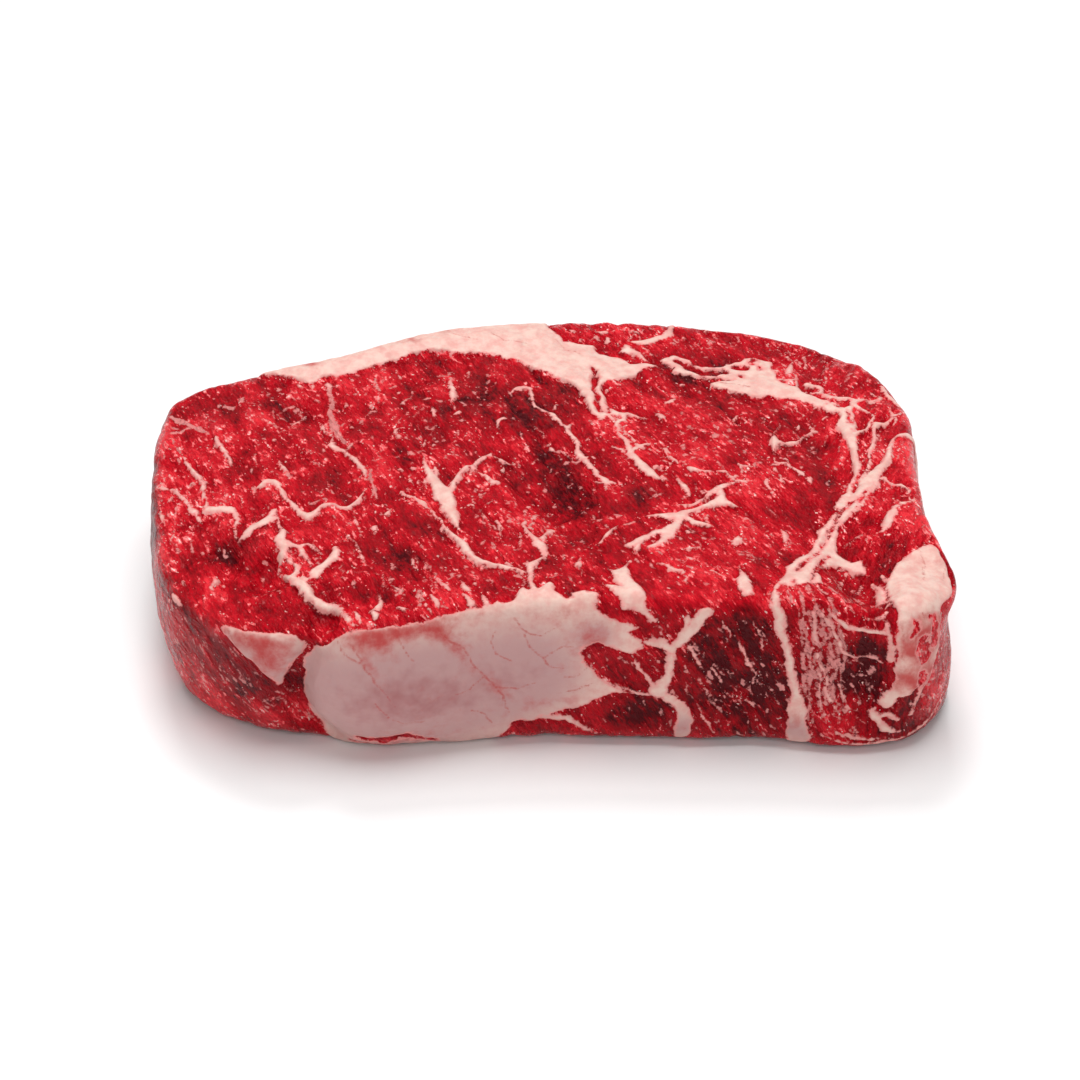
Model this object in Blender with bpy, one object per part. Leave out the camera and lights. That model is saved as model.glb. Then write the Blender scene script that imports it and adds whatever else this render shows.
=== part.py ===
"""Raw beef rib steak, one solid, lying on its flat lower cut face.

Run with: blender --background --python part.py

The steak is a UV sphere pulled into shape. Longitude runs round the rim and latitude runs down a section:
upper cut face, rounded upper edge, side, rounded lower edge, lower cut face. Sizes below are in millimetres,
X along the length, Y from the front side to the back, Z up. The finished mesh is in metres, with the origin
at the middle of its bounding box's base.
"""

import math

import bmesh
import bpy
import numpy as np

MM = 0.001

# Stations round the rim, anticlockwise seen from above, from the left end along the front.
# x and y of the upper edge, its height, how far the lower edge sits in from it, and the side's swell between.
RIM = (
    (-86.4, -4.0, 33.6, 3.0, 1.8),
    (-83.6, -19.0, 32.8, 2.5, 1.6),
    (-79.2, -35.5, 32.5, 2.4, 0.8),
    (-72.5, -44.6, 32.5, 3.8, 0.5),
    (-61.0, -52.3, 32.5, 5.0, 0.5),
    (-50.0, -54.4, 33.2, 5.0, 0.5),
    (-38.0, -55.4, 35.2, 3.0, 1.6),
    (-20.0, -52.6, 37.0, 1.0, 1.4),
    (0.0, -50.6, 38.5, 0.8, 0.8),
    (24.0, -51.0, 38.5, 0.2, 0.3),
    (48.0, -51.5, 38.5, 0.0, 0.0),
    (68.0, -53.0, 38.2, -0.8, 0.0),
    (80.0, -50.0, 36.5, -0.4, 0.0),
    (88.0, -42.0, 34.0, 0.6, -0.4),
    (90.3, -33.5, 33.5, -0.8, -3.6),
    (87.4, -24.0, 35.8, -2.5, -2.0),
    (84.6, -14.0, 37.6, -1.5, 0.5),
    (84.6, 6.0, 38.0, 0.0, 1.5),
    (85.4, 26.0, 37.5, 1.0, 2.0),
    (79.8, 45.8, 37.2, 2.0, 2.0),
    (64.5, 59.6, 37.0, 2.5, 2.0),
    (43.0, 67.4, 37.5, 3.0, 2.0),
    (18.0, 68.9, 38.0, 3.0, 2.0),
    (-8.0, 65.8, 38.5, 3.0, 2.0),
    (-28.0, 60.6, 38.3, 3.0, 2.0),
    (-45.0, 52.8, 37.5, 3.5, 2.0),
    (-61.0, 48.9, 36.5, 3.5, 2.0),
    (-74.0, 45.2, 35.4, 4.0, 2.0),
    (-85.6, 38.3, 34.8, 4.0, 2.0),
    (-88.4, 27.0, 34.6, 4.0, 1.0),
    (-88.0, 12.0, 34.2, 4.0, 1.0),
)
MIDDLE = (0.0, 4.0)
MIDDLE_HEIGHT = 37.6
UPPER_EDGE_RADIUS = 4.5
LOWER_EDGE_RADIUS = 5.0

# Forms of the upper cut face: x, y, half length, half width, direction in degrees, height.
MUSCLE_FORMS = (
    (1.5, -8.0, 18.0, 7.0, 105.0, -4.5),  # valley between the muscles
    (-66.0, -32.0, 7.0, 3.5, 80.0, -3.5),  # pits at the front left
    (-57.5, -35.0, 5.0, 4.0, 60.0, -3.5),
    (-44.5, -51.0, 6.0, 3.0, 90.0, -3.5),  # head of the crease
    (-56.0, 27.0, 6.0, 4.5, 70.0, -2.0),
    (-46.0, 10.0, 20.0, 4.0, 105.0, -1.5),  # seam of the left muscle
    (-24.0, 22.0, 17.0, 14.0, 80.0, 1.2),  # swell of the middle muscle
    (40.0, 8.0, 20.0, 17.0, 30.0, 1.4),  # swell of the right muscle
    (33.0, 37.0, 7.0, 4.0, 150.0, -1.5),
    (66.0, 4.0, 15.0, 4.0, 95.0, -2.2),  # seam under the cap muscle
    (67.0, -40.0, 12.0, 5.0, 105.0, -4.0),  # hollow behind the corner fat
    (-26.0, 54.0, 36.0, 6.0, 14.0, 1.5),  # fat band along the back
)

# Crease between the corner meat and the fat lobe on the front side, as x and height from top to bottom.
CREASE = ((-44.5, 34.0), (-47.5, 26.0), (-51.0, 19.0), (-50.5, 11.0), (-44.0, 3.0))
CREASE_HALF_WIDTH = 3.2
CREASE_DEPTH = 3.4

# Forms of the side that faces front: x, height, half length, half height, how far they stand out.
SIDE_FORMS = (
    (-31.0, 17.0, 16.0, 13.0, 1.8),  # fat lobe
    (77.0, 24.0, 5.0, 14.0, 1.6),  # corner fat
    (69.0, 17.0, 5.0, 8.0, -1.6),  # meat sunk beside the corner fat
    (90.0, 28.0, 4.0, 7.0, -2.8),  # notch under the corner flap
)

ROUND_STEPS = 128
UPPER_FACE_STEPS = 15
UPPER_EDGE_STEPS = 4
SIDE_STEPS = 9
LOWER_EDGE_STEPS = 3
LOWER_FACE_STEPS = 3

MEAT_COLOUR = (0.42, 0.02, 0.03, 1.0)
MEAT_ROUGHNESS = 0.35


def clear_scene():
    for obj in list(bpy.data.objects):
        bpy.data.objects.remove(obj, do_unlink=True)


def rim_at(share):
    """The rim's five values at a share of the way round, on a closed Hermite spline through RIM."""
    stations = np.array(RIM)
    count = len(stations)
    spans = np.linalg.norm((np.roll(stations, -1, axis=0) - stations)[:, :2], axis=1)
    along = (share % 1.0) * spans.sum()
    index = 0
    while along > spans[index] and index < count - 1:
        along -= spans[index]
        index += 1
    before, start, end, after = (stations[(index + k) % count] for k in (-1, 0, 1, 2))
    span_before, span, span_after = (spans[(index + k) % count] for k in (-1, 0, 1))
    slope_start = (end - before) / (span_before + span) * span
    slope_end = (after - start) / (span + span_after) * span
    t = along / span
    return (
        (2 * t**3 - 3 * t**2 + 1) * start
        + (t**3 - 2 * t**2 + t) * slope_start
        + (3 * t**2 - 2 * t**3) * end
        + (t**3 - t**2) * slope_end
    )


def outward_at(share):
    """Unit vector square to the rim, in the XY plane, pointing out of the steak."""
    ahead = rim_at(share + 0.001)[:2] - rim_at(share - 0.001)[:2]
    return np.array((ahead[1], -ahead[0])) / np.hypot(*ahead)


def muscle_relief(x, y):
    """Height that the muscles, seams and pits add to the upper cut face."""
    height = 0.0
    for form_x, form_y, length, width, direction, rise in MUSCLE_FORMS:
        turn = math.radians(direction)
        along = ((x - form_x) * math.cos(turn) + (y - form_y) * math.sin(turn)) / length
        across = ((y - form_y) * math.cos(turn) - (x - form_x) * math.sin(turn)) / width
        height += rise * math.exp(-(along**2) - across**2)
    return height


def distance_to_crease(x, z):
    nearest = math.inf
    for (x0, z0), (x1, z1) in zip(CREASE, CREASE[1:]):
        run = np.array((x1 - x0, z1 - z0))
        share = np.clip(np.dot((x - x0, z - z0), run) / np.dot(run, run), 0.0, 1.0)
        nearest = min(nearest, math.hypot(x - x0 - share * run[0], z - z0 - share * run[1]))
    return nearest


def side_relief(x, z):
    """How far the front side stands out at x and height z."""
    out = -CREASE_DEPTH * math.exp(-((distance_to_crease(x, z) / CREASE_HALF_WIDTH) ** 2))
    for form_x, form_z, length, height, rise in SIDE_FORMS:
        out += rise * math.exp(-(((x - form_x) / length) ** 2) - ((z - form_z) / height) ** 2)
    return out


def upper_face_point(share, reach):
    """Point of the upper cut face, with reach 0 at its middle and 1 where the edge starts to round over."""
    x, y, edge_height = rim_at(share)[:3]
    outer = np.array((x, y)) - UPPER_EDGE_RADIUS * outward_at(share)
    x, y = MIDDLE + (outer - MIDDLE) * reach
    height = MIDDLE_HEIGHT + (edge_height - MIDDLE_HEIGHT) * reach**3.5
    return np.array((x, y, height + muscle_relief(x, y)))


def side_point(share, drop, pull_in):
    """Point of the side, drop below the upper face's border and pulled in from the rim by pull_in."""
    x, y, _, undercut, swell = rim_at(share)
    height = upper_face_point(share, 1.0)[2]
    z = height - drop
    down = np.clip((drop - UPPER_EDGE_RADIUS) / (height - UPPER_EDGE_RADIUS), 0.0, 1.0)
    eased = 0.5 * (down + down**2)
    eased = eased**2 * (3.0 - 2.0 * eased)
    out = swell * 4.0 * down * (1.0 - down) - undercut * eased - pull_in
    if y < 0.0:
        out += side_relief(x, z) * min(drop / UPPER_EDGE_RADIUS, 1.0) * min(z / LOWER_EDGE_RADIUS, 1.0)
    x, y = np.array((x, y)) + out * outward_at(share)
    return np.array((x, y, z))


def section_point(share, step):
    """Point of the section at a share of the way round, step rings down from the middle of the upper face."""
    if step <= UPPER_FACE_STEPS:
        return upper_face_point(share, step / UPPER_FACE_STEPS)
    step -= UPPER_FACE_STEPS
    if step <= UPPER_EDGE_STEPS:
        turned = math.pi / 2 * step / UPPER_EDGE_STEPS
        drop = UPPER_EDGE_RADIUS * (1.0 - math.cos(turned))
        return side_point(share, drop, UPPER_EDGE_RADIUS * (1.0 - math.sin(turned)))
    step -= UPPER_EDGE_STEPS
    height = upper_face_point(share, 1.0)[2]
    if step <= SIDE_STEPS:
        straight = height - UPPER_EDGE_RADIUS - LOWER_EDGE_RADIUS
        return side_point(share, UPPER_EDGE_RADIUS + straight * step / SIDE_STEPS, 0.0)
    step -= SIDE_STEPS
    if step <= LOWER_EDGE_STEPS:
        turned = math.pi / 2 * step / LOWER_EDGE_STEPS
        drop = height - LOWER_EDGE_RADIUS * (1.0 - math.sin(turned))
        return side_point(share, drop, LOWER_EDGE_RADIUS * (1.0 - math.cos(turned)))
    reach = 1.0 - (step - LOWER_EDGE_STEPS) / LOWER_FACE_STEPS
    border = side_point(share, height, LOWER_EDGE_RADIUS)[:2]
    x, y = MIDDLE + (border - MIDDLE) * reach
    return np.array((x, y, 0.0))


def meat_material():
    material = bpy.data.materials.new("raw_beef")
    material.use_nodes = True
    shader = material.node_tree.nodes["Principled BSDF"]
    shader.inputs["Base Color"].default_value = MEAT_COLOUR
    shader.inputs["Roughness"].default_value = MEAT_ROUGHNESS
    shader.inputs["Metallic"].default_value = 0.0
    return material


def steak(collection):
    """The steak, from a UV sphere whose every vertex is moved to its place on the section."""
    rings = UPPER_FACE_STEPS + UPPER_EDGE_STEPS + SIDE_STEPS + LOWER_EDGE_STEPS + LOWER_FACE_STEPS
    bm = bmesh.new()
    bmesh.ops.create_uvsphere(bm, u_segments=ROUND_STEPS, v_segments=rings, radius=1.0)
    for vert in bm.verts:
        share = math.atan2(vert.co.y, vert.co.x) / math.tau + 0.5
        step = round(math.acos(max(-1.0, min(1.0, vert.co.z))) / math.pi * rings)
        vert.co = section_point(share, step) * MM
    low = np.min([vert.co for vert in bm.verts], axis=0)
    high = np.max([vert.co for vert in bm.verts], axis=0)
    bmesh.ops.translate(bm, verts=bm.verts, vec=(-(low[0] + high[0]) / 2, -(low[1] + high[1]) / 2, -low[2]))
    mesh = bpy.data.meshes.new("steak")
    bm.to_mesh(mesh)
    bm.free()
    mesh.shade_smooth()
    mesh.materials.append(meat_material())
    obj = bpy.data.objects.new("steak", mesh)
    collection.objects.link(obj)
    return obj


def main():
    clear_scene()
    collection = bpy.data.collections.new("raw_beef_steak")
    bpy.context.scene.collection.children.link(collection)
    steak(collection)


main()
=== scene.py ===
"""Looks of a raw beef rib steak, modelled as one continuous skin over the CAD solid.

The skin repeats the solid's form on a fine mesh in three pieces, which share their border vertices: the
upper cut face, the side and the lower cut face. What a cut face shows is drawn in plan, and what the side
shows is drawn unrolled, along the rim and up. Both give every vertex its depth into fat, flecks and so on,
in millimetres. The material turns those depths into colour and wetness, and they also raise the surface.

Lengths are in millimetres, X along the steak, Y from its front to its back, Z up, until they go into a
mesh. Lights and floor are in metres.
"""

import math

import bpy
import numpy as np
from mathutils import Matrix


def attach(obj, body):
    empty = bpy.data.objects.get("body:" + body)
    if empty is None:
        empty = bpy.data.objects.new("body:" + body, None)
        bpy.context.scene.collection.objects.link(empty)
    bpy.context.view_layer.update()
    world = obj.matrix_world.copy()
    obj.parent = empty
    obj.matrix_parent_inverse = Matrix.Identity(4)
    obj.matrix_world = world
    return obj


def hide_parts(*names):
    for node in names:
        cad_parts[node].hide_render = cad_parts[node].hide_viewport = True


MM = 0.001

# ---- Form of the solid ----

# Stations round the rim, anticlockwise seen from above, from the left end along the front.
# x and y of the upper edge, its height, how far the lower edge sits in from it, and the side's swell
# between.
RIM = np.array((
    (-86.4, -4.0, 33.6, 3.0, 1.8),
    (-83.6, -19.0, 32.8, 2.5, 1.6),
    (-79.2, -35.5, 32.5, 2.4, 0.8),
    (-72.5, -44.6, 32.5, 3.8, 0.5),
    (-61.0, -52.3, 32.5, 5.0, 0.5),
    (-50.0, -54.4, 33.2, 5.0, 0.5),
    (-38.0, -55.4, 35.2, 3.0, 1.6),
    (-20.0, -52.6, 37.0, 1.0, 1.4),
    (0.0, -50.6, 38.5, 0.8, 0.8),
    (24.0, -51.0, 38.5, 0.2, 0.3),
    (48.0, -51.5, 38.5, 0.0, 0.0),
    (68.0, -53.0, 38.2, -0.8, 0.0),
    (80.0, -50.0, 36.5, -0.4, 0.0),
    (88.0, -42.0, 34.0, 0.6, -0.4),
    (90.3, -33.5, 33.5, -0.8, -3.6),
    (87.4, -24.0, 35.8, -2.5, -2.0),
    (84.6, -14.0, 37.6, -1.5, 0.5),
    (84.6, 6.0, 38.0, 0.0, 1.5),
    (85.4, 26.0, 37.5, 1.0, 2.0),
    (79.8, 45.8, 37.2, 2.0, 2.0),
    (64.5, 59.6, 37.0, 2.5, 2.0),
    (43.0, 67.4, 37.5, 3.0, 2.0),
    (18.0, 68.9, 38.0, 3.0, 2.0),
    (-8.0, 65.8, 38.5, 3.0, 2.0),
    (-28.0, 60.6, 38.3, 3.0, 2.0),
    (-45.0, 52.8, 37.5, 3.5, 2.0),
    (-61.0, 48.9, 36.5, 3.5, 2.0),
    (-74.0, 45.2, 35.4, 4.0, 2.0),
    (-85.6, 38.3, 34.8, 4.0, 2.0),
    (-88.4, 27.0, 34.6, 4.0, 1.0),
    (-88.0, 12.0, 34.2, 4.0, 1.0),
))
MIDDLE = np.array((0.0, 4.0))
MIDDLE_HEIGHT = 37.6
UPPER_EDGE_RADIUS = 4.5
LOWER_EDGE_RADIUS = 5.0

# Forms of the upper cut face: x, y, half length, half width, direction in degrees, height.
MUSCLE_FORMS = (
    (1.5, -8.0, 18.0, 7.0, 105.0, -4.5),  # valley between the muscles
    (-66.0, -32.0, 7.0, 3.5, 80.0, -3.5),  # pits at the front left
    (-57.5, -35.0, 5.0, 4.0, 60.0, -3.5),
    (-44.5, -51.0, 6.0, 3.0, 90.0, -3.5),  # head of the crease
    (-56.0, 27.0, 6.0, 4.5, 70.0, -2.0),
    (-46.0, 10.0, 20.0, 4.0, 105.0, -1.5),  # seam of the left muscle
    (-24.0, 22.0, 17.0, 14.0, 80.0, 1.2),  # swell of the middle muscle
    (40.0, 8.0, 20.0, 17.0, 30.0, 1.4),  # swell of the right muscle
    (33.0, 37.0, 7.0, 4.0, 150.0, -1.5),
    (66.0, 4.0, 15.0, 4.0, 95.0, -2.2),  # seam under the cap muscle
    (67.0, -40.0, 12.0, 5.0, 105.0, -4.0),  # hollow behind the corner fat
    (-26.0, 54.0, 36.0, 6.0, 14.0, 1.5),  # fat band along the back
)

# Crease in the front side, as x and height from top to bottom.
CREASE = ((-44.5, 34.0), (-47.5, 26.0), (-51.0, 19.0), (-50.5, 11.0), (-44.0, 3.0))
CREASE_HALF_WIDTH = 3.2
CREASE_DEPTH = 3.4

# Forms of the side that faces front: x, height, half length, half height, how far they stand out.
SIDE_FORMS = (
    (-31.0, 17.0, 16.0, 13.0, 1.8),  # fat lobe
    (77.0, 24.0, 5.0, 14.0, 1.6),  # corner fat
    (69.0, 17.0, 5.0, 8.0, -1.6),  # meat sunk beside the corner fat
    (90.0, 28.0, 4.0, 7.0, -2.8),  # notch under the corner flap
)

# ---- Mesh ----

FACE_RINGS = 182  # ring k of a cut face has 6 k vertices
EDGE_RINGS = 24  # of them, those that round over the edge
UPPER_SEAM_DROP = 6.5  # the upper cut face's piece ends this far down the side
SIDE_ROWS = 84
LOWER_EDGE_RINGS = 8
LOWER_SEAM_TURN = 60.0  # the lower cut face's piece starts this far round the lower edge, in degrees

# The drawing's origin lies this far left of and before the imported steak's, which is the middle of its box.
SHIFT = np.array((0.217, 6.253))

# Across the fibres' sheets, then two directions in them: for most of the steak, and for the cap muscle.
FIBRES = ((0.804, 0.375, 0.462), (0.42, -0.9, 0.0), (0.416, 0.194, -0.888))
CAP_FIBRES = ((0.94, -0.342, 0.0), (-0.342, -0.94, 0.0), (0.0, 0.0, 1.0))

SIDE_START = 80.0  # the unrolled side begins this far behind the left end

# Layout of the pieces' textures: the width of a cut face's sheet and its middle, how far apart the rings of
# a rounded edge lie on it, and the number of strips that the side is cut into.
FACE_SHEET = 210.0
FACE_SHEET_MIDDLE = (105.0, 101.0)
UPPER_EDGE_STEP = 0.45
LOWER_EDGE_STEP = 0.4
SIDE_STRIPS = 4

# ---- How the drawing lies on the skin ----

# Each pair is where a change begins and ends. The first two are turns round an edge, in degrees.
FACE_TO_SIDE = (30.0, 70.0)
SIDE_TO_LOWER = (58.0, 90.0)
SHOWN_FROM = (-30.0, -10.0)  # s where the part of the side that the photo shows begins
SHOWN_TO = (205.0, 235.0)  # and where it ends
CAP_EDGE = (58.0, 66.0)  # x from which the cap muscle's own fibres run

GUESS_FADE = 7.0  # how much the guessed fat of the unseen side sinks where the shown side takes over
BACK_SWAY = 3.0  # how far that fat wanders sideways, and over what length
BACK_SWAY_CELL = 11.0
WALL_DRIFT = 2.5  # how far the drawing in plan wanders on the walls, and on the lower face
LOWER_DRIFT = 3.0

# Seeds of what is left to chance.
WOBBLE_SEEDS = (41, 42)
UPPER_FLECK_SEED = 3
LOWER_FLECK_SEED = 4
SIDE_FLECK_SEED = 11

MASS_REACH = 3.0  # how far outside a mass its depth is worked out
DOT_LENGTH = 0.01  # a dot is a stroke this short

# Direction of the fibres on the cut faces, in degrees. The cap muscle's begins at an x, and the middle
# muscle's lies between two.
CAP_FROM = 60.0
CAP_GRAIN = -108.0
MIDDLE_FROM, MIDDLE_TO = -44.0, 12.0
MIDDLE_GRAIN = -75.0
OUTER_GRAIN = -62.0
# The same on the side, which changes at an s.
RIGHT_END_FROM = 230.0
FRONT_GRAIN = -60.0
BACK_GRAIN = -80.0

# ---- Colours, linear ----

# The lean's colours from dark to bright follow a tone that holds painted shade in furrows and hollows and
# painted light on lumps, besides the meat's own tone.
LEAN_DARK_AND_SHADED = (0.07, 0.0005, 0.003)
LEAN_DEEP = (0.33, 0.0008, 0.006)
LEAN = (0.60, 0.003, 0.013)
LEAN_BRIGHT_AND_LIT = (0.97, 0.035, 0.05)
LEAN_VEILED = (0.075, 0.007, 0.011)
LACE = (0.95, 0.26, 0.26)
# painted highlight: the colour of wet glints, put into the lean's colour
PAINTED_GLINT = (1.0, 0.72, 0.66)
FLECK = (0.88, 0.34, 0.32)
VEIN_EDGE = (0.84, 0.32, 0.30)
FAT = (0.86, 0.60, 0.52)
FAT_WARM = (0.80, 0.42, 0.37)
FILM = (0.41, 0.16, 0.165)
FILM_PALE = (0.56, 0.33, 0.32)
CAPILLARY = (0.50, 0.06, 0.05)
STAIN = (0.52, 0.04, 0.04)

# ---- Material ----

# Noises of the meat: scale, detail, roughness.
WIDE_STREAKS = (0.45, 3.0, 0.6)
FINE_STREAKS = (1.5, 2.0, 0.6)
BLOTCHES = (0.12, 3.0, 0.55)
GRIT = (1.1, 3.0, 0.65)
PATCHES = (0.3, 2.0, 0.5)
SPECKS = (1.1, 3.0, 0.65)
# the next noise places the painted glints
PAINTED_GLINTS = (1.5, 1.0, 0.5)
RAGS = (0.5, 2.0, 0.6)
WARMTH = (0.35, 4.0, 0.65)
BLOOD = (0.4, 5.0, 0.6)

# Where one look turns into the next: tones of the lean, then its lace, painted glints and flecks, then the
# fat.
DARK_TO_DEEP = (-2.4, -0.9)
DEEP_TO_LEAN = (-1.1, 0.3)
LEAN_TO_BRIGHT = (0.2, 1.5)
LACE_EDGE = (0.675, 0.80)
PAINTED_GLINT_EDGE = (0.75, 0.81)
LACE_PAINTED_GLINT_EDGE = (0.80, 0.88)
FLECK_EDGE = (-0.05, 0.3)
FAT_EDGE = (-0.1, 0.3)
VEIN_BORDER = (0.9, 0.1)
STAIN_EDGE = (0.1, 1.1)
THREAD_EDGE = (-0.25, 0.2)

LEAN_ROUGHNESS = 0.2
FAT_ROUGHER = 0.22  # what fat and membrane add to it
FILM_ROUGHER = 0.2

# ---- Camera, lights and floor ----

CAMERA_LIFT = 34.0
CAMERA_DISTANCE = 575.0
CAMERA_HEIGHT = 19.0
CAMERA_LENS = 85.0
CAMERA_SENSOR = 36.0
CAMERA_CLIP = 0.01  # metres

# Name, place, size and power of each light, which points at the steak.
LIGHTS = (
    ("overhead", (0.0, 0.15, 2.2), (1.6, 1.3), 31.5),
    ("front", (0.0, -1.5, 1.3), (1.6, 1.0), 10.0),
    ("back", (-0.1, 0.9, 1.6), (0.5, 0.35), 10.0),
)
WORLD_STRENGTH = 0.2
FLOOR_HALF = 3.0
FLOOR_COLOUR = (0.95, 0.95, 0.95)
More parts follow.
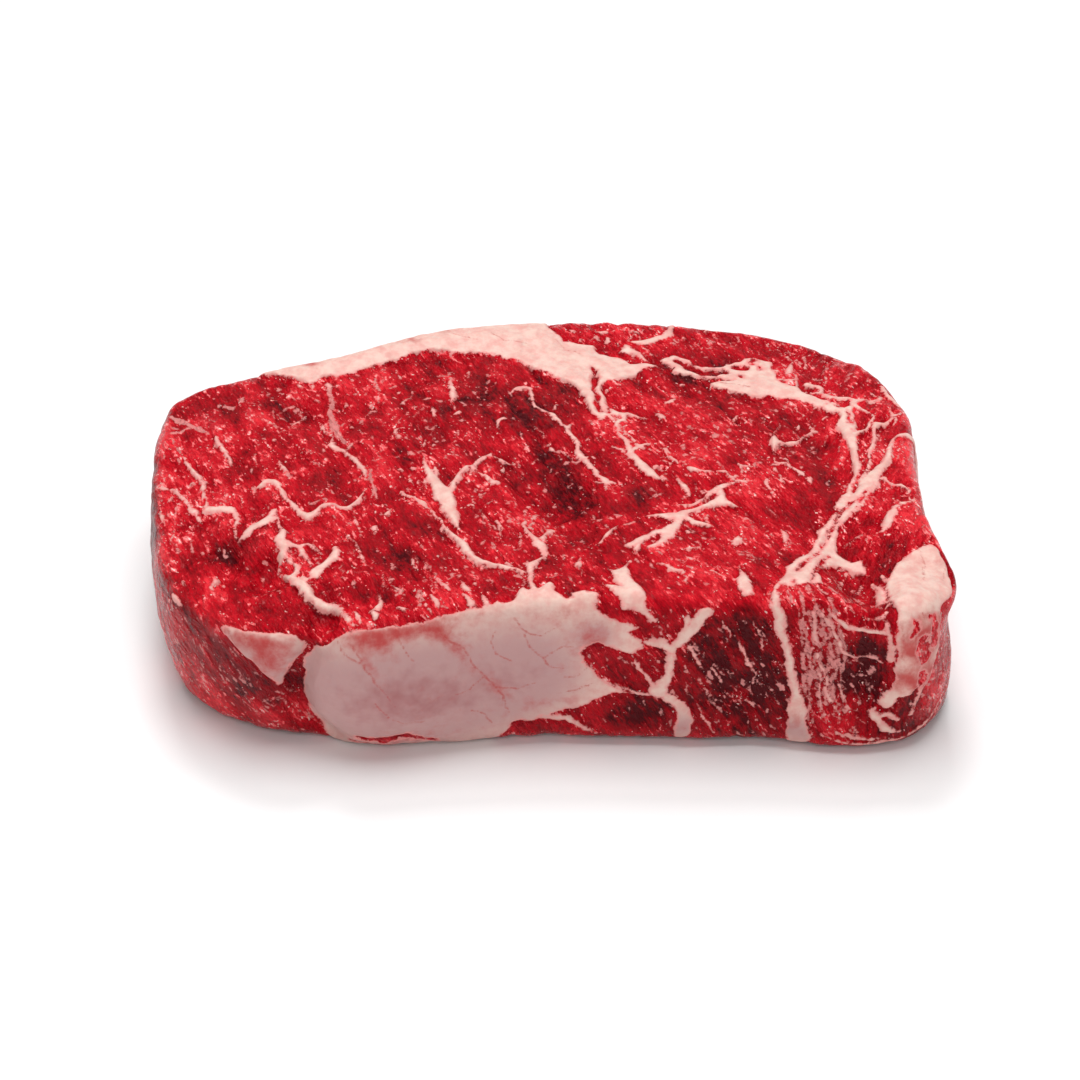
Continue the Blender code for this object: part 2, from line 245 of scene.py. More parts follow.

# ---- The drawing ----

# Veins and flecks of fat on the upper cut face: each is a line of x, y, width, x, y, width and so on.
# Two are painted highlights drawn as fat: the streak from (16.4, -21.4) and the line from (63.9, -32.9).
VEINS_AND_PAINTED_GLINTS = (
    # short veins at the front right
    (69.4, -38.6, 0.8, 69.1, -41, 2, 68.7, -43.6, 1.5),
    (48.2, -43, 0.4, 47.8, -46, 1.4, 47.4, -50, 2),
    # painted highlight: the white streak of a wet glint, drawn as a sliver of fat
    (16.4, -21.4, 0.5, 14.6, -24, 1.1, 12.2, -27.8, 0.6),
    # left muscle
    (-79.4, 11.6, 0.5, -78.4, 9.7, 0.7, -77.9, 8.1, 0.9, -76.9, 5.9, 1.2, -75.6, 3.8, 1.5, -74.4, 2.2,
     1.6, -73.4, 0.3, 1.4, -73.3, -1.3, 1.2, -73, -3.1, 1.1, -72.7, -5, 1, -72.2, -6.9, 0.8, -72, -8.8,
     0.9, -72.2, -10.4, 1.5),
    (-86.3, 3.8, 0.3, -84.7, 1.9, 0.4, -83.3, 0, 0.7, -82.6, -0.2, 1.1, -81.6, -0.9, 1.4, -80.6, -1.2, 0.8),
    (-80, -0.8, 0.6, -78.9, -2.5, 1.1, -77.8, -4.4, 1.2, -76.9, -6.3, 1.1, -75.9, -8, 1.1, -74.7, -10,
     1.2, -73.4, -11.6, 1.3, -72.7, -13.3, 0.8),
    (-79.6, -4.2, 1.1, -80.2, -5.8, 0.7),
    (-78, -6.6, 0.5, -77.8, -9, 0.5, -77.7, -11.3, 0.3),
    (-82, -8.8, 0.5, -80.9, -11, 0.8, -80, -12.9, 0.5),
    (-78, -15.5, 0.6, -77.6, -18.5, 0.6, -77.8, -21, 0.4),
    (-72.2, -10.4, 1.5, -71.3, -9.8, 2, -69.7, -10.3, 2.2, -68.1, -10.4, 2.3, -66.6, -11, 2.1, -65.3,
     -12.3, 1.8, -64.4, -14.2, 1.2, -64.2, -16.2, 0.9, -64.7, -18, 0.7, -64.1, -21, 0.4),
    (-72.3, 17.7, 1.1, -71.9, 16.2, 1.7, -71.3, 14.8, 1.8, -70.5, 12.5, 1.4, -69.5, 10.9, 1.2, -68.8, 9,
     1.4, -68.1, 7.8, 1.2, -67.2, 6.9, 0.7, -65.8, 6.5, 0.3),
    (-71.4, 15.6, 1, -70.4, 16, 0.7),
    (-61.7, -3.8, 0.8, -60.3, -2.8, 1.6, -59.1, -1.6, 1.9, -57.8, -2.2, 2, -56.6, -3.8, 1.8, -55.6, -5.9,
     1.5, -54.7, -8.1, 1.5, -53.2, -10.6, 1.5, -52.3, -12.6, 1.7, -51.2, -14.6, 1.8, -49.5, -16, 2.6,
     -48.6, -15.6, 2.4, -47.4, -14.2, 1.6, -45.9, -12.7, 1.2, -44, -12.5, 1.1, -42.6, -13, 1.2, -41, -13,
     1.6, -40, -12, 1.6, -39.4, -10.6, 1.4, -38.4, -7.6, 0.9, -37.6, -5.8, 0.4),
    (-39.3, -14, 0.5, -38.9, -18, 0.4, -37.8, -21, 0.4, -37.5, -24, 0.2),
    (-57.5, 6.9, 0.5, -56.9, 5, 0.9, -56.3, 3.4, 1.2, -55.6, 1.9, 0.6, -54.4, -0.6, 0.2),
    (-56.6, -13.5, 1.2, -57.5, -16.5, 3, -60, -18, 2.8, -61.5, -20, 2.4, -63.4, -22, 0.7),
    (-56.2, -14.5, 1.1, -55.6, -17.2, 1.1, -55.3, -18.8, 0.7),
    (-54.8, -19.4, 1, -54.1, -20.9, 1.6, -54.1, -22.5, 2.2, -54.2, -24, 2.8, -53.8, -25.6, 2.8, -53.6,
     -27.5, 2.4, -54.3, -29.4, 1.6, -54.6, -31, 1, -53.7, -32.7, 0.9, -52.5, -34.6, 1, -51.3, -36, 2),
    (-53.4, -28.7, 1.2, -51.9, -30.6, 1.2, -50.3, -32.6, 1.2, -50, -34.7, 1.2, -50.8, -36, 1.6),
    (-51.2, -35.8, 1.8, -50, -38, 2.8, -48.1, -40.3, 2.6, -46.6, -42.5, 2.5, -44.7, -43.8, 2.4, -42.8,
     -44.8, 2.2, -41.2, -45.9, 2.1, -40.3, -47.2, 1.8, -39.7, -48.8, 1.6, -38.8, -51, 1.3, -37.7, -53, 1),
    (-48.8, -36.9, 1.2, -46, -39.5, 0.7),
    (-67, -33.4, 1.2, -68.1, -36.9, 0.8),
    (-74, -34.6, 0.8, -74, -33.8, 1),
    (-42.5, -28.1, 1.1, -42.2, -29.4, 1.7, -43.1, -31.2, 2.4, -44.4, -33.1, 2.2, -45.6, -34.7, 2.8, -45.9,
     -36.6, 2.2, -47.2, -37.6, 0.9),
    (-53, -24.7, 1.1, -51.9, -26, 1, -50.3, -26.9, 1.1, -48.6, -26.2, 0.9, -47.2, -27.5, 0.8, -46.3,
     -28.9, 0.4),
    (-50, -27.2, 1.2, -49.4, -29.4, 1.2, -48.4, -31, 1, -47.5, -32.8, 0.6),
    (-40.6, -23.5, 0.5, -39.4, -25.2, 0.6, -38.4, -27, 0.7, -37.8, -28.5, 0.8, -37, -30.5, 0.9, -36.3,
     -32.4, 0.7),
    (-49.4, 22.8, 0.8, -48.4, 20.6, 0.8, -47.5, 18.4, 0.8, -46.6, 16.6, 0.7, -46.3, 13.6, 1.4, -45, 11.6,
     1.4, -43.4, 10, 0.9, -41.9, 8.1, 1, -40.6, 6.3, 1.5, -39.7, 4.4, 1.5, -39, 2.5, 1.3, -38.4, 0.6, 1.6,
     -38, -1.3, 0.6, -38, -3.1, 0.3),
    (-42.6, 11.6, 1, -41.5, 12.5, 0.8),
    (-35, -20.3, 1.1, -34.7, -22.2, 1.1),
    (-33.4, -18.8, 0.3, -34.8, -20.4, 0.6),
    (-33.1, -11.3, 0.6, -32, -14.5, 0.7, -32.5, -16.3, 1.5),
    (-53.4, 29.3, 0.5, -53.8, 27, 0.8, -54.3, 26, 0.8, -55.3, 24.4, 0.8, -55.6, 21.6, 0.5),
    (-50.9, 32.4, 0.9, -50.2, 31.6, 0.6),
    (-55.4, 37.9, 0.9, -54.4, 36.9, 0.6),
    (-49.2, 38.6, 1, -48.6, 37.4, 1.2, -48.9, 36.2, 0.7),
    (-43.1, 39.2, 0.4, -43.1, 37.9, 0.5),
    (-43.9, 29.6, 0.4, -43.6, 28.4, 0.7),
    (-42.4, 19.9, 0.5, -42.1, 19, 0.6),
    # middle muscle
    (-25.6, 6.9, 0.4, -25.5, 5, 0.8, -25, 3.1, 1.1, -24.5, 0.9, 1.8, -23.8, -1.2, 2.6, -22.8, -3.8, 3,
     -21.8, -5.9, 3.4, -21.1, -8.1, 4.2, -20.4, -10.3, 4.4, -19.6, -12.6, 3.9, -19, -14.8, 3.2, -18.1,
     -17.2, 2.4, -17.2, -19.4, 1.7, -16.7, -22, 0.6),
    (-22.7, 2.4, 0.3, -22.8, 0.9, 0.9, -22.5, -1.3, 1.2),
    (-20.2, -8.4, 2.2, -19.1, -6.6, 1.9, -18.4, -4.4, 1.7, -17.5, -2.2, 1.6, -16.6, 0.3, 1.4, -15.5, 1.8,
     1.1, -14.2, 2, 1, -13.6, 4.1, 1, -12.5, 5.6, 1, -11.3, 6.9, 1.1, -10.8, 8.2, 0.5),
    (-11.2, 7, 1, -10, 7.1, 1, -8.4, 6.6, 1, -7.2, 5.8, 1.1, -5.9, 5.6, 0.8, -5.4, 6.6, 0.3),
    (-7.2, 5.6, 0.7, -7.3, 3.6, 0.6, -7.7, 2.2, 1.2, -8.3, 1.8, 0.7),
    (-7.6, 2, 0.9, -6.6, 1.3, 0.5),
    (-14.2, 1.7, 1, -13.1, 0.3, 1, -11.6, -0.6, 1.3, -10.6, -1.9, 1.2, -10, -3, 1.4, -9, -3.1, 1.4, -8,
     -4, 0.6),
    (-10, -3, 1, -10.3, -4.8, 0.4),
    (-29.7, -7.4, 0.9, -28.4, -9, 1.4, -26.9, -10.9, 1.4, -25.3, -12.3, 1.5, -24, -13.8, 1.1, -23, -14.9,
     0.9, -21.6, -16.9, 0.9, -20.6, -19.1, 1.1, -19.8, -21.4, 1.3, -18.8, -23.4, 1.7, -17.5, -25.6, 2,
     -15.9, -27.8, 2.2, -14.7, -30.3, 2, -13.7, -32.5, 1.9, -12.2, -34.4, 1.8, -10.3, -35.1, 1.6, -8.4,
     -35.9, 1.6, -6.6, -37.2, 1.8, -4.7, -37.8, 1.6, -3.1, -38.3, 0.8),
    (-6.6, -34.7, 0.6, -5.6, -36.4, 0.8),
    (-26.9, -9.3, 0.4, -24.7, -9.3, 0.4),
    (-28.1, -3, 0.9, -28.1, -4.4, 0.9),
    (-26.4, -3.5, 0.7, -26.4, -4.3, 0.7),
    (-24.8, -2.7, 0.8, -24.8, -4.2, 0.8),
    (-28.1, -5.8, 0.6, -27.9, -6.2, 0.6),
    (-27.8, 1.2, 0.8, -26.3, 1.2, 1, -25.6, 1, 0.7),
    (-30.3, 0.6, 1, -29.8, 0.3, 0.7),
    (-25.9, 9.5, 0.9, -25.5, 10.8, 0.6, -25.3, 12.2, 0.3),
    (-23.8, 10.3, 0.8, -23.5, 10.2, 0.7),
    (-24.2, 25.9, 0.5, -24.1, 23.8, 1, -23.9, 22, 0.7),
    (-18.9, 22.6, 0.9, -18.1, 23.2, 1.4, -17.9, 24, 0.5),
    (-20.8, 39.1, 0.5, -20.5, 36.9, 1, -20.2, 34.8, 1.3, -19.8, 32.3, 1.7, -19.7, 30.4, 1.6, -19.5, 28.6,
     0.9, -18.9, 25.6, 0.3),
    (-7, 33.2, 0.4, -6.3, 34.1, 0.6, -4.7, 35.1, 1, -3.6, 35.8, 1.2, -2.5, 34.8, 1, -2, 32.9, 1.2, -2,
     31.3, 1.2, -1.7, 29.1, 0.7, -1.3, 27.3, 1, 0, 26.6, 0.7, 1.3, 25.3, 0.9, 2.5, 23.8, 1.2, 3.4, 21.9,
     1.2, 4.4, 20, 1.1, 5.3, 18.5, 1, 5.9, 17.5, 1.5, 6.6, 15.6, 1.4, 7.5, 13.4, 1.3, 8, 11.3, 1.4, 8.4,
     8.8, 1.4, 9.1, 6.3, 1.6, 10, 3.8, 1.4, 10.9, 1.9, 1.7, 12.2, 0, 1.4, 12.8, -1.9, 1.3, 13.8, -3.8,
     1.8, 14.5, -5.3, 2, 15.3, -4.8, 1.4, 16.3, -5, 0.4),
    (5.9, 17.5, 1, 6.4, 19, 0.8, 6.9, 19.8, 0.3),
    (9.4, 6, 0.9, 11.3, 5.8, 0.7, 11.7, 5.4, 0.5),
    (14, -5.6, 1, 13.8, -7.4, 0.5),
    (14.9, -5.6, 0.9, 15.6, -7.6, 0.3),
    (11.6, -4, 0.8, 12.8, -4.7, 0.7),
    (3.6, 29, 0.5, 3.3, 27.8, 0.8, 3.1, 26.6, 0.3),
    (-1.3, 19.7, 0.4, -0.3, 17.8, 0.8, 0.5, 16.3, 0.8, 0.5, 14.4, 0.4),
    (1.9, 11.9, 0.7, 2.3, 10.7, 1, 2.8, 10, 0.4),
    (5, 9.2, 0.4, 5.6, 8.1, 0.8, 5.9, 6.9, 1, 6.9, 5.6, 0.4),
    (-7, 20.8, 0.3, -7.8, 21.3, 1, -8.9, 20.3, 1, -9.2, 18.8, 0.7, -9, 17.7, 0.3),
    (-9.2, 15.5, 0.5, -8.6, 15.4, 0.6),
    (-30.3, 17.2, 0.6, -31.6, 16.3, 0.8, -31.9, 15, 0.9, -31.4, 13.4, 0.9, -30.8, 12.5, 0.3),
    (-29.9, 29.6, 0.6, -30.9, 27.7, 1.2, -31.3, 29, 0.5),
    (-30.4, 29.4, 0.7, -28.8, 29.1, 0.5),
    (-12.7, -8.4, 0.4, -12.7, -9.6, 0.9, -13.3, -11, 0.4),
    (-13.7, -4.7, 0.6, -13.8, -6.8, 0.3),
    (-11.1, -6.4, 0.3, -11.7, -8.6, 0.6),
    (-14.8, -12.3, 0.6, -14.6, -12.9, 0.6),
    (-38.1, 39.1, 0.5, -37.5, 36.9, 0.8, -36.9, 35.4, 0.9, -36.6, 33.5, 0.6, -36.9, 31.3, 0.3),
    (-36.4, 30, 0.5, -36.4, 28.4, 0.4),
    (-38.4, 28.6, 0.8, -38.3, 27.8, 0.9, -37.2, 27, 0.5),
    (-32.2, 39.2, 0.4, -33, 42.2, 0.4, -33.7, 43.6, 0.4),
    (-35.8, 38.6, 0.5, -36, 37.6, 0.5),
    # front of the middle muscle
    (-12.2, -16, 0.8, -11.6, -18, 1.2),
    (-12.8, -15, 0.4, -11.9, -13.1, 0.6, -10.3, -11.9, 0.6, -9.7, -11, 0.3),
    (-9.2, -18.6, 0.8, -8.4, -20, 1, -8, -21.6, 1, -8.3, -23.4, 0.4),
    (-1.2, -7.2, 0.4, -1.9, -8.4, 0.8, -2.6, -10, 0.5, -2.8, -11.3, 0.6, -3, -13.8, 0.6, -3.1, -15.6, 0.6,
     -3.3, -17.5, 0.7, -3.1, -19.4, 0.8, -2.7, -21.3, 1, -2.2, -22.8, 1.1, -1.6, -24.7, 1.2, -0.8, -26,
     1.6, 0, -27.5, 2.6, 0.8, -30, 1.9, 0.9, -31.5, 1, 0.3, -33, 0.6, -0.5, -33.6, 0.8, -1, -34.9, 1.7,
     -1.9, -36.6, 2, -2, -38.8, 1, -1.9, -41.3, 1.4, -1.6, -43.4, 1.5, -1.2, -45, 2),
    (-0.5, -11.9, 0.5, -0.9, -14, 0.7, -1.1, -16.3, 0.8, -1.4, -18.1, 0.8, -1.7, -20.6, 0.7, -2.2, -22.8,
     0.7),
    (1.6, -10.4, 0.3, 0.9, -12.8, 0.4, 0.8, -14.7, 0.3),
    (3.3, -19, 0.4, 2.4, -19.3, 1.4, 1.9, -20.9, 1.2, 1.4, -22.5, 1, 0.9, -24, 1, 0.6, -25.6, 1.6),
    (-3.8, -22.5, 0.6, -3.6, -24.7, 0.7, -3.9, -26.9, 0.6, -4.4, -28.8, 0.4),
    (-3, -35.3, 0.6, -0.8, -35.3, 0.8),
    (8.3, -31.3, 0.4, 7.8, -33.8, 0.8, 7.5, -35.8, 1.4),
    (8.6, -37.5, 0.5, 8.5, -39.6, 0.4),
    (-20.8, -39.4, 0.5, -18.8, -43.8, 1.3),
    (-16, -40.6, 0.6, -15.3, -42.6, 1.1, -14.6, -44.7, 1.3),
    (-33.1, -42.5, 0.5, -32.5, -46.3, 1, -32.8, -48.4, 1.8),
    (-34.2, -49.3, 1.6, -32.8, -51, 2),
    (-22.2, -45.3, 0.8, -20.3, -48.8, 1.8),
    (-28.6, -48.8, 1.1, -27, -49.8, 1.1),
    (-15.9, -46, 0.8, -15, -47.6, 1.2, -13.8, -48.9, 1.4),
    (-11.7, -46.7, 0.7, -10.6, -48.9, 0.8),
    (-37.5, -49, 0.7, -36.3, -51.9, 0.9),
    (-30, -41, 0.5, -28.1, -42.8, 0.6),
    (-24.4, -45, 0.5, -23.1, -49, 0.6, -21.9, -50, 0.5),
    (-26.5, -30.5, 0.5, -26.2, -34, 0.7, -25.3, -37.5, 0.5),
    (-25, -27.8, 0.6, -24.4, -29, 0.7),
    # right muscle
    (16.9, 19.6, 1.3, 17.3, 17.6, 1.1, 17.7, 16.2, 1, 18.4, 13.4, 1.1, 19, 11.2, 1.4, 19.6, 8.8, 1.8,
     19.9, 6.2, 2, 20.9, 3.8, 2.1, 22.2, 1.6, 2.6, 23.4, -0.6, 3, 24.4, -2.2, 2.4, 25.9, -3.8, 1, 26.4,
     -4.4, 0.4),
    (15.6, 9.6, 0.8, 16.8, 8.8, 1, 18.1, 7.8, 1, 19.2, 6.6, 1),
    (18.4, 18.4, 0.5, 19.4, 16.2, 0.5, 20, 13.8, 0.8, 20.9, 11.2, 1.2, 21.7, 9.7, 1.2, 22.8, 9.1, 1.5,
     24.2, 9.8, 0.8, 25, 10.2, 0.3),
    (22.4, 8.8, 1.2, 20.8, 8.3, 1.4, 19.8, 7.8, 1),
    (24.2, 7.9, 0.6, 24.8, 7, 0.7),
    (25.4, 8, 0.6, 26, 7.3, 0.5),
    (27.2, 8.8, 0.5, 27.8, 6.9, 1, 27.9, 6.2, 0.5),
    (26.9, 5.6, 0.3, 28.4, 4.6, 0.9, 29.2, 3.4, 0.8, 29.8, 2.4, 0.5, 31, 1.4, 0.6, 31.9, 0.9, 0.7),
    (32.4, -0.3, 0.8, 33.8, -0.9, 1.4, 35.6, -1.3, 1, 38.1, -1.9, 0.5, 39.9, -1.6, 1, 40.6, -3.1, 0.9,
     41.4, -4.2, 1.1, 42.2, -3, 0.7),
    (26.5, 3.3, 1, 28.3, 2.2, 0.8),
    (25.3, 1.4, 0.8, 25.9, 0.9, 0.7),
    (26.4, -2.2, 0.7, 27.3, -3.4, 0.9, 27.8, -4.2, 0.3),
    (29.4, -2.8, 0.4, 30.3, -5.3, 1, 31.2, -7.5, 1.6, 31.6, -9, 1.4, 31.3, -9.9, 0.5),
    (22.5, -18.1, 0.8, 24.4, -17.5, 1.2, 26.9, -18.3, 2.4, 29, -17.8, 2.4, 31, -16.6, 2, 33.3, -15, 1.4,
     35, -13.9, 2, 36.6, -12.8, 2.6, 38.2, -12.2, 3.2, 38.6, -10.4, 2.4, 38.9, -8.2, 1.8, 39.2, -6.8, 1.5,
     40.6, -5.9, 1, 42.5, -5.2, 0.8, 44, -5.3, 0.9, 45.9, -5.2, 0.4),
    (38.4, -12.8, 2.6, 40, -12.8, 1.8, 42, -13.4, 0.8),
    (29.4, -13.9, 0.4, 32.5, -13.2, 1, 34.4, -11.6, 1.1, 36.3, -9.7, 1.2, 37.8, -7.8, 1.4, 39, -6.9, 1.5),
    (30, -18.4, 1.6, 29.2, -20, 2.2, 28, -21.9, 3, 26.9, -23.8, 3.4, 25.9, -26.2, 2, 24.4, -28.4, 1.6,
     22.5, -29.4, 0.9),
    (26.4, -24, 2.4, 24.4, -23.8, 1.8, 22.5, -25.3, 2, 20.9, -26.9, 2.2, 19, -28.4, 2.2, 18.1, -28.8, 0.7),
    (20.3, -28.6, 2, 19.9, -30.2, 1.6, 19.7, -31.9, 0.6),
    (30.9, -18.4, 1.4, 32.5, -19.7, 1.5, 34.4, -20.6, 1.8, 36.3, -21.3, 0.7),
    (35, -17.2, 0.8, 35, -19.4, 0.7),
    (41.3, -25, 0.4, 41.4, -27, 1.8, 40.6, -28.4, 0.6),
    (44, -17.8, 1, 44.5, -19.4, 0.9),
    (50.9, -21.6, 0.4, 51.3, -23.4, 1.5, 51.4, -25.6, 1.3, 51.4, -28.8, 0.2),
    (30, -30.3, 0.7, 30.9, -29.7, 0.8, 33.1, -29.4, 0.7, 33.4, -28.1, 0.5),
    (23.8, -35.3, 0.4, 25.6, -36.6, 0.9, 26.9, -37.8, 1.1, 28.4, -38.4, 0.9, 29.4, -39.7, 0.6, 29.7,
     -43.8, 0.2),
    (35.3, -38.4, 0.8, 36.6, -40, 0.7),
    (30, -37.2, 0.8, 30.6, -38.1, 0.7),
    (53.6, 19.7, 0.3, 53.1, 18.1, 0.4, 52.5, 15.9, 0.5, 52.2, 13.9, 0.8, 51.8, 12.6, 1.8, 51.7, 11.6, 2.8,
     51.6, 10, 2.2, 51.4, 8.8, 1, 51.3, 6.3, 0.3),
    (52.2, 11.2, 2.2, 53.9, 10.8, 1.1, 55.5, 11.3, 1.3, 57, 12.2, 1.2, 58.3, 14, 0.8, 59.9, 15.6, 1.2,
     60.5, 16.6, 1.3, 62, 16.7, 0.8, 63.6, 17.3, 0.3),
    (60.4, 16.8, 1, 60.5, 17.9, 0.7, 60.2, 20, 0.6, 60, 21.6, 0.5, 59.3, 23.4, 0.5, 57.7, 25.6, 0.6, 57,
     27, 0.5),
    (60.8, 17.4, 0.7, 61.1, 18.4, 0.5, 61.6, 20, 0.6, 62, 21.6, 0.3),
    (50.5, 1.2, 1.3, 51.9, 2, 1, 53.3, 2.2, 1.3, 54.2, 0.7, 0.9, 55.5, -0.6, 0.9, 56.8, -1.6, 1.5, 57.5,
     -2.5, 0.4),
    (51.9, 2, 0.6, 51.3, 3.2, 0.6, 51.2, 5, 0.2),
    (50.8, 0.8, 1, 50.9, -0.4, 0.8, 51.5, -2, 0.6, 52, -2.8, 0.5, 52.7, -5, 0.3),
    (53.6, 2.4, 0.6, 54.3, 4, 0.8, 53.7, 5, 0.4),
    (58.6, -3.2, 1.4, 58.9, -4.9, 0.4),
    (50.3, -2.8, 0.4, 49.7, -4, 0.6, 48.4, -5.6, 1.2, 49, -7.2, 1, 49.7, -9, 0.7, 49.4, -10.4, 0.3),
    (43.3, -1.9, 0.4, 43.5, 0, 0.8, 43.8, 0.6, 1.1, 44.7, 0.6, 0.9, 45.6, 0.9, 0.3),
    (43.1, 1.9, 0.5, 43.6, 1, 0.5),
    (26.4, 24.7, 0.3, 26.9, 23.4, 1.1, 27.5, 21.9, 1.6, 27.3, 20.3, 0.8),
    (44, 22.5, 0.8, 43.3, 21.3, 1.1, 43, 20, 0.6),
    (19.6, 24.4, 1.6, 21.2, 24, 1, 22.2, 23.4, 0.9, 24.1, 22.5, 0.6),
    (64.4, 23.2, 1, 63.7, 22.6, 0.7),
    (57.4, 19, 0.8, 57.4, 18.5, 0.8),
    (30.9, 31.8, 0.3, 30.3, 29.8, 1, 29.7, 28.8, 1.3, 28.1, 27.8, 0.4),
    # seam between the muscles and the cap
    (68, 26, 3, 68, 24, 2.6, 68, 22.2, 2.5, 67.7, 20, 2.8, 67.8, 18.1, 3.2, 68.1, 16.3, 3.6, 68.6, 14.4,
     3.6, 68.8, 12.5, 3, 68.8, 10, 2.6, 68.8, 7.5, 2.2, 68.8, 5, 2.2, 68.6, 2.5, 2, 68.3, 0, 1.6, 67.8,
     -2.2, 1.2, 67, -3.8, 1.1, 66.4, -5.9, 1.5, 65.8, -8.1, 1.8, 64.9, -10.3, 2, 63.6, -12.8, 2.2),
    (71.1, 29, 2.6, 71.1, 27.2, 2.2, 72.4, 25.9, 1.6, 73.9, 25.3, 1, 74.7, 24, 0.6, 74.4, 22.5, 0.7, 73.9,
     20.9, 1.1, 73.6, 19, 1.3, 72.7, 17.5, 1.3, 71.8, 16.3, 1.6, 70.4, 15.4, 2, 69.4, 14.6, 2),
    (69.9, 26.5, 2, 70, 25, 1.5, 70.1, 23.1, 1.2, 69.9, 20.6, 1, 69.8, 18.1, 1, 69.6, 16.4, 1.2),
    (75.2, 20, 2.2, 77, 20.3, 1.2, 78.6, 22.2, 0.8, 79.4, 23.6, 0.7),
    (75.2, 20, 2, 74.9, 18.4, 1.6, 74.6, 15.9, 1, 74.1, 13.8, 1, 73.3, 11.3, 1, 72.7, 8.8, 1.2, 72.4, 6.3,
     1.2, 72, 4, 1.2, 71.4, 1.9, 1.2, 70.5, 0, 1.2, 69.9, -1.6, 1.5, 69.6, -3, 2),
    (79.3, 25.9, 0.7, 79.6, 23.8, 1.4, 79.6, 21.9, 0.9, 79.4, 20, 0.4),
    (79.8, 23.6, 1, 80.8, 23.8, 0.8, 82.4, 26.6, 0.8, 83.3, 28.1, 0.5),
    (77.4, 24.4, 0.5, 78.6, 23.2, 0.7),
    (85.4, 16.6, 2, 83.6, 15.6, 3, 80.8, 14.7, 1.8, 78.9, 14, 1.3, 77.8, 12.5, 1.1, 77.4, 10.3, 1.1, 76.8,
     8.1, 1.3, 76.6, 5.9, 1.8, 75.8, 4, 2.4, 74.6, 2.2, 2.8, 73.3, 0.3, 2.8, 72, -1.6, 3, 70.8, -3.4, 3.4,
     69.9, -5.3, 3.6, 68.6, -7.2, 3, 67.4, -8.8, 2.4, 66.4, -10.3, 2.4),
    (84.6, 15, 2.4, 83.9, 12.4, 1.4, 83.4, 10.4, 1.2, 83.1, 8.4, 0.5),
    (72.4, -2.2, 2, 72, -5.3, 1.8, 70.5, -7.5, 1.6, 69.6, -10, 1.2, 68.3, -12.8, 1.4, 67, -15, 1),
    (74.2, -3, 1.4, 74.6, -4.4, 1, 76, -5.2, 0.9, 77.7, -5.4, 1.2, 78.3, -6.6, 1.4, 79.6, -7.5, 1, 79.3,
     -9, 0.6, 79.3, -11.3, 0.4),
    (83.5, 2.4, 0.6, 83.3, 0.6, 1.8, 83.3, -2.5, 2, 82.2, -5.5, 0.8, 82, -8, 0.4),
    (80.8, -10.6, 0.5, 79.6, -12.2, 0.7, 78.8, -12.8, 1, 77.4, -13.4, 1.2, 75.5, -14.7, 1.8, 74.6, -16.3,
     2.5, 73.6, -18.1, 2.4, 72.4, -20, 1.6, 71.8, -21.6, 1, 70.2, -22.8, 0.5, 68.3, -24.4, 0.3),
    (68.6, -22.2, 0.4, 66.4, -23.4, 0.5, 64.6, -24.7, 0.5, 63, -25.6, 0.3),
    (70.3, -35.2, 1.2, 71.3, -38, 1.6, 71, -41, 1.6, 70.6, -44, 1.5, 70.2, -46.5, 1),
    (68, -37, 0.8, 69.3, -39.5, 0.7),
    (62, -50, 0.6, 64.5, -51.2, 0.8, 67, -51, 0.8, 69, -50.2, 0.7, 70, -49, 0.5),
    # painted highlight: the bright line of a wet glint, drawn as a thin vein
    (63.9, -32.9, 0.5, 62.8, -36, 0.5, 61.8, -40, 0.3),
    # cap
    (22.2, 55.8, 2, 25, 56.1, 2.4, 27.2, 57.7, 2.6, 29.1, 58.9, 2.4, 30.3, 60.5, 2, 30.9, 62.4, 1.6, 31,
     65.5, 1.4),
    (24.2, 52.9, 1.2, 24.9, 52.5, 0.9),
    (23.4, 50.2, 0.9, 24, 48.8, 0.9, 25.3, 47.5, 0.8, 26, 47.1, 0.3),
    (8.4, 59.7, 0.7, 7.2, 60.4, 0.5),
    (12.6, 60.5, 0.7, 15.6, 60.4, 1),
    (13.4, 58.4, 1, 12.4, 57.4, 0.4),
    (10, 57.2, 0.7, 10, 56.2, 0.7),
    (15.6, 58.4, 0.8, 15.9, 56.8, 1.1),
    (18.8, 56.3, 0.9, 18.2, 55.7, 0.7),
    (21.9, 59.6, 0.5, 21.4, 58, 0.8),
    (21.4, 61.2, 1, 22.8, 60.4, 1.4),
    (23.4, 59.8, 0.3, 23.2, 57.4, 0.4),
    (24.8, 62.4, 0.5, 24, 61.4, 0.4),
    (59, 57, 0.3, 58.1, 55.4, 0.5, 57.5, 53.2, 0.6, 57.2, 51, 0.2),
    (58.4, 51.3, 0.9, 58.4, 48.5, 1, 58.1, 46.6, 1, 57.5, 44.1, 1.6, 57.2, 42.3, 1.6),
    (61.9, 51, 0.8, 61.6, 47.9, 0.8, 61.2, 46, 0.8),
    (63.4, 51.9, 0.8, 62.2, 51.2, 0.5),
    (60, 49.8, 0.7, 59.5, 48.2, 0.4),
    (53.4, 58.2, 0.4, 53.2, 56.8, 0.5, 53.1, 55.4, 0.4),
    (55, 57.9, 0.4, 54.4, 55.7, 0.3),
    (58.8, 41.4, 0.9, 58.8, 38.8, 0.9, 59, 37.2, 1.2),
    (61.6, 37.4, 2.2, 63.8, 37, 1.4, 64.7, 35, 1.4, 63.9, 33.3, 1.4, 62, 33.4, 0.8, 60.9, 34.8, 0.5),
    (65, 32.6, 1.6, 66.2, 31.3, 2.2, 68.1, 31, 1.8, 70, 31, 1.4, 71.9, 30, 1.8, 73.8, 30.2, 1.2, 75.6,
     30.4, 1, 77.2, 31.3, 0.9, 76.9, 32.9, 0.7, 75.6, 34.8, 0.3),
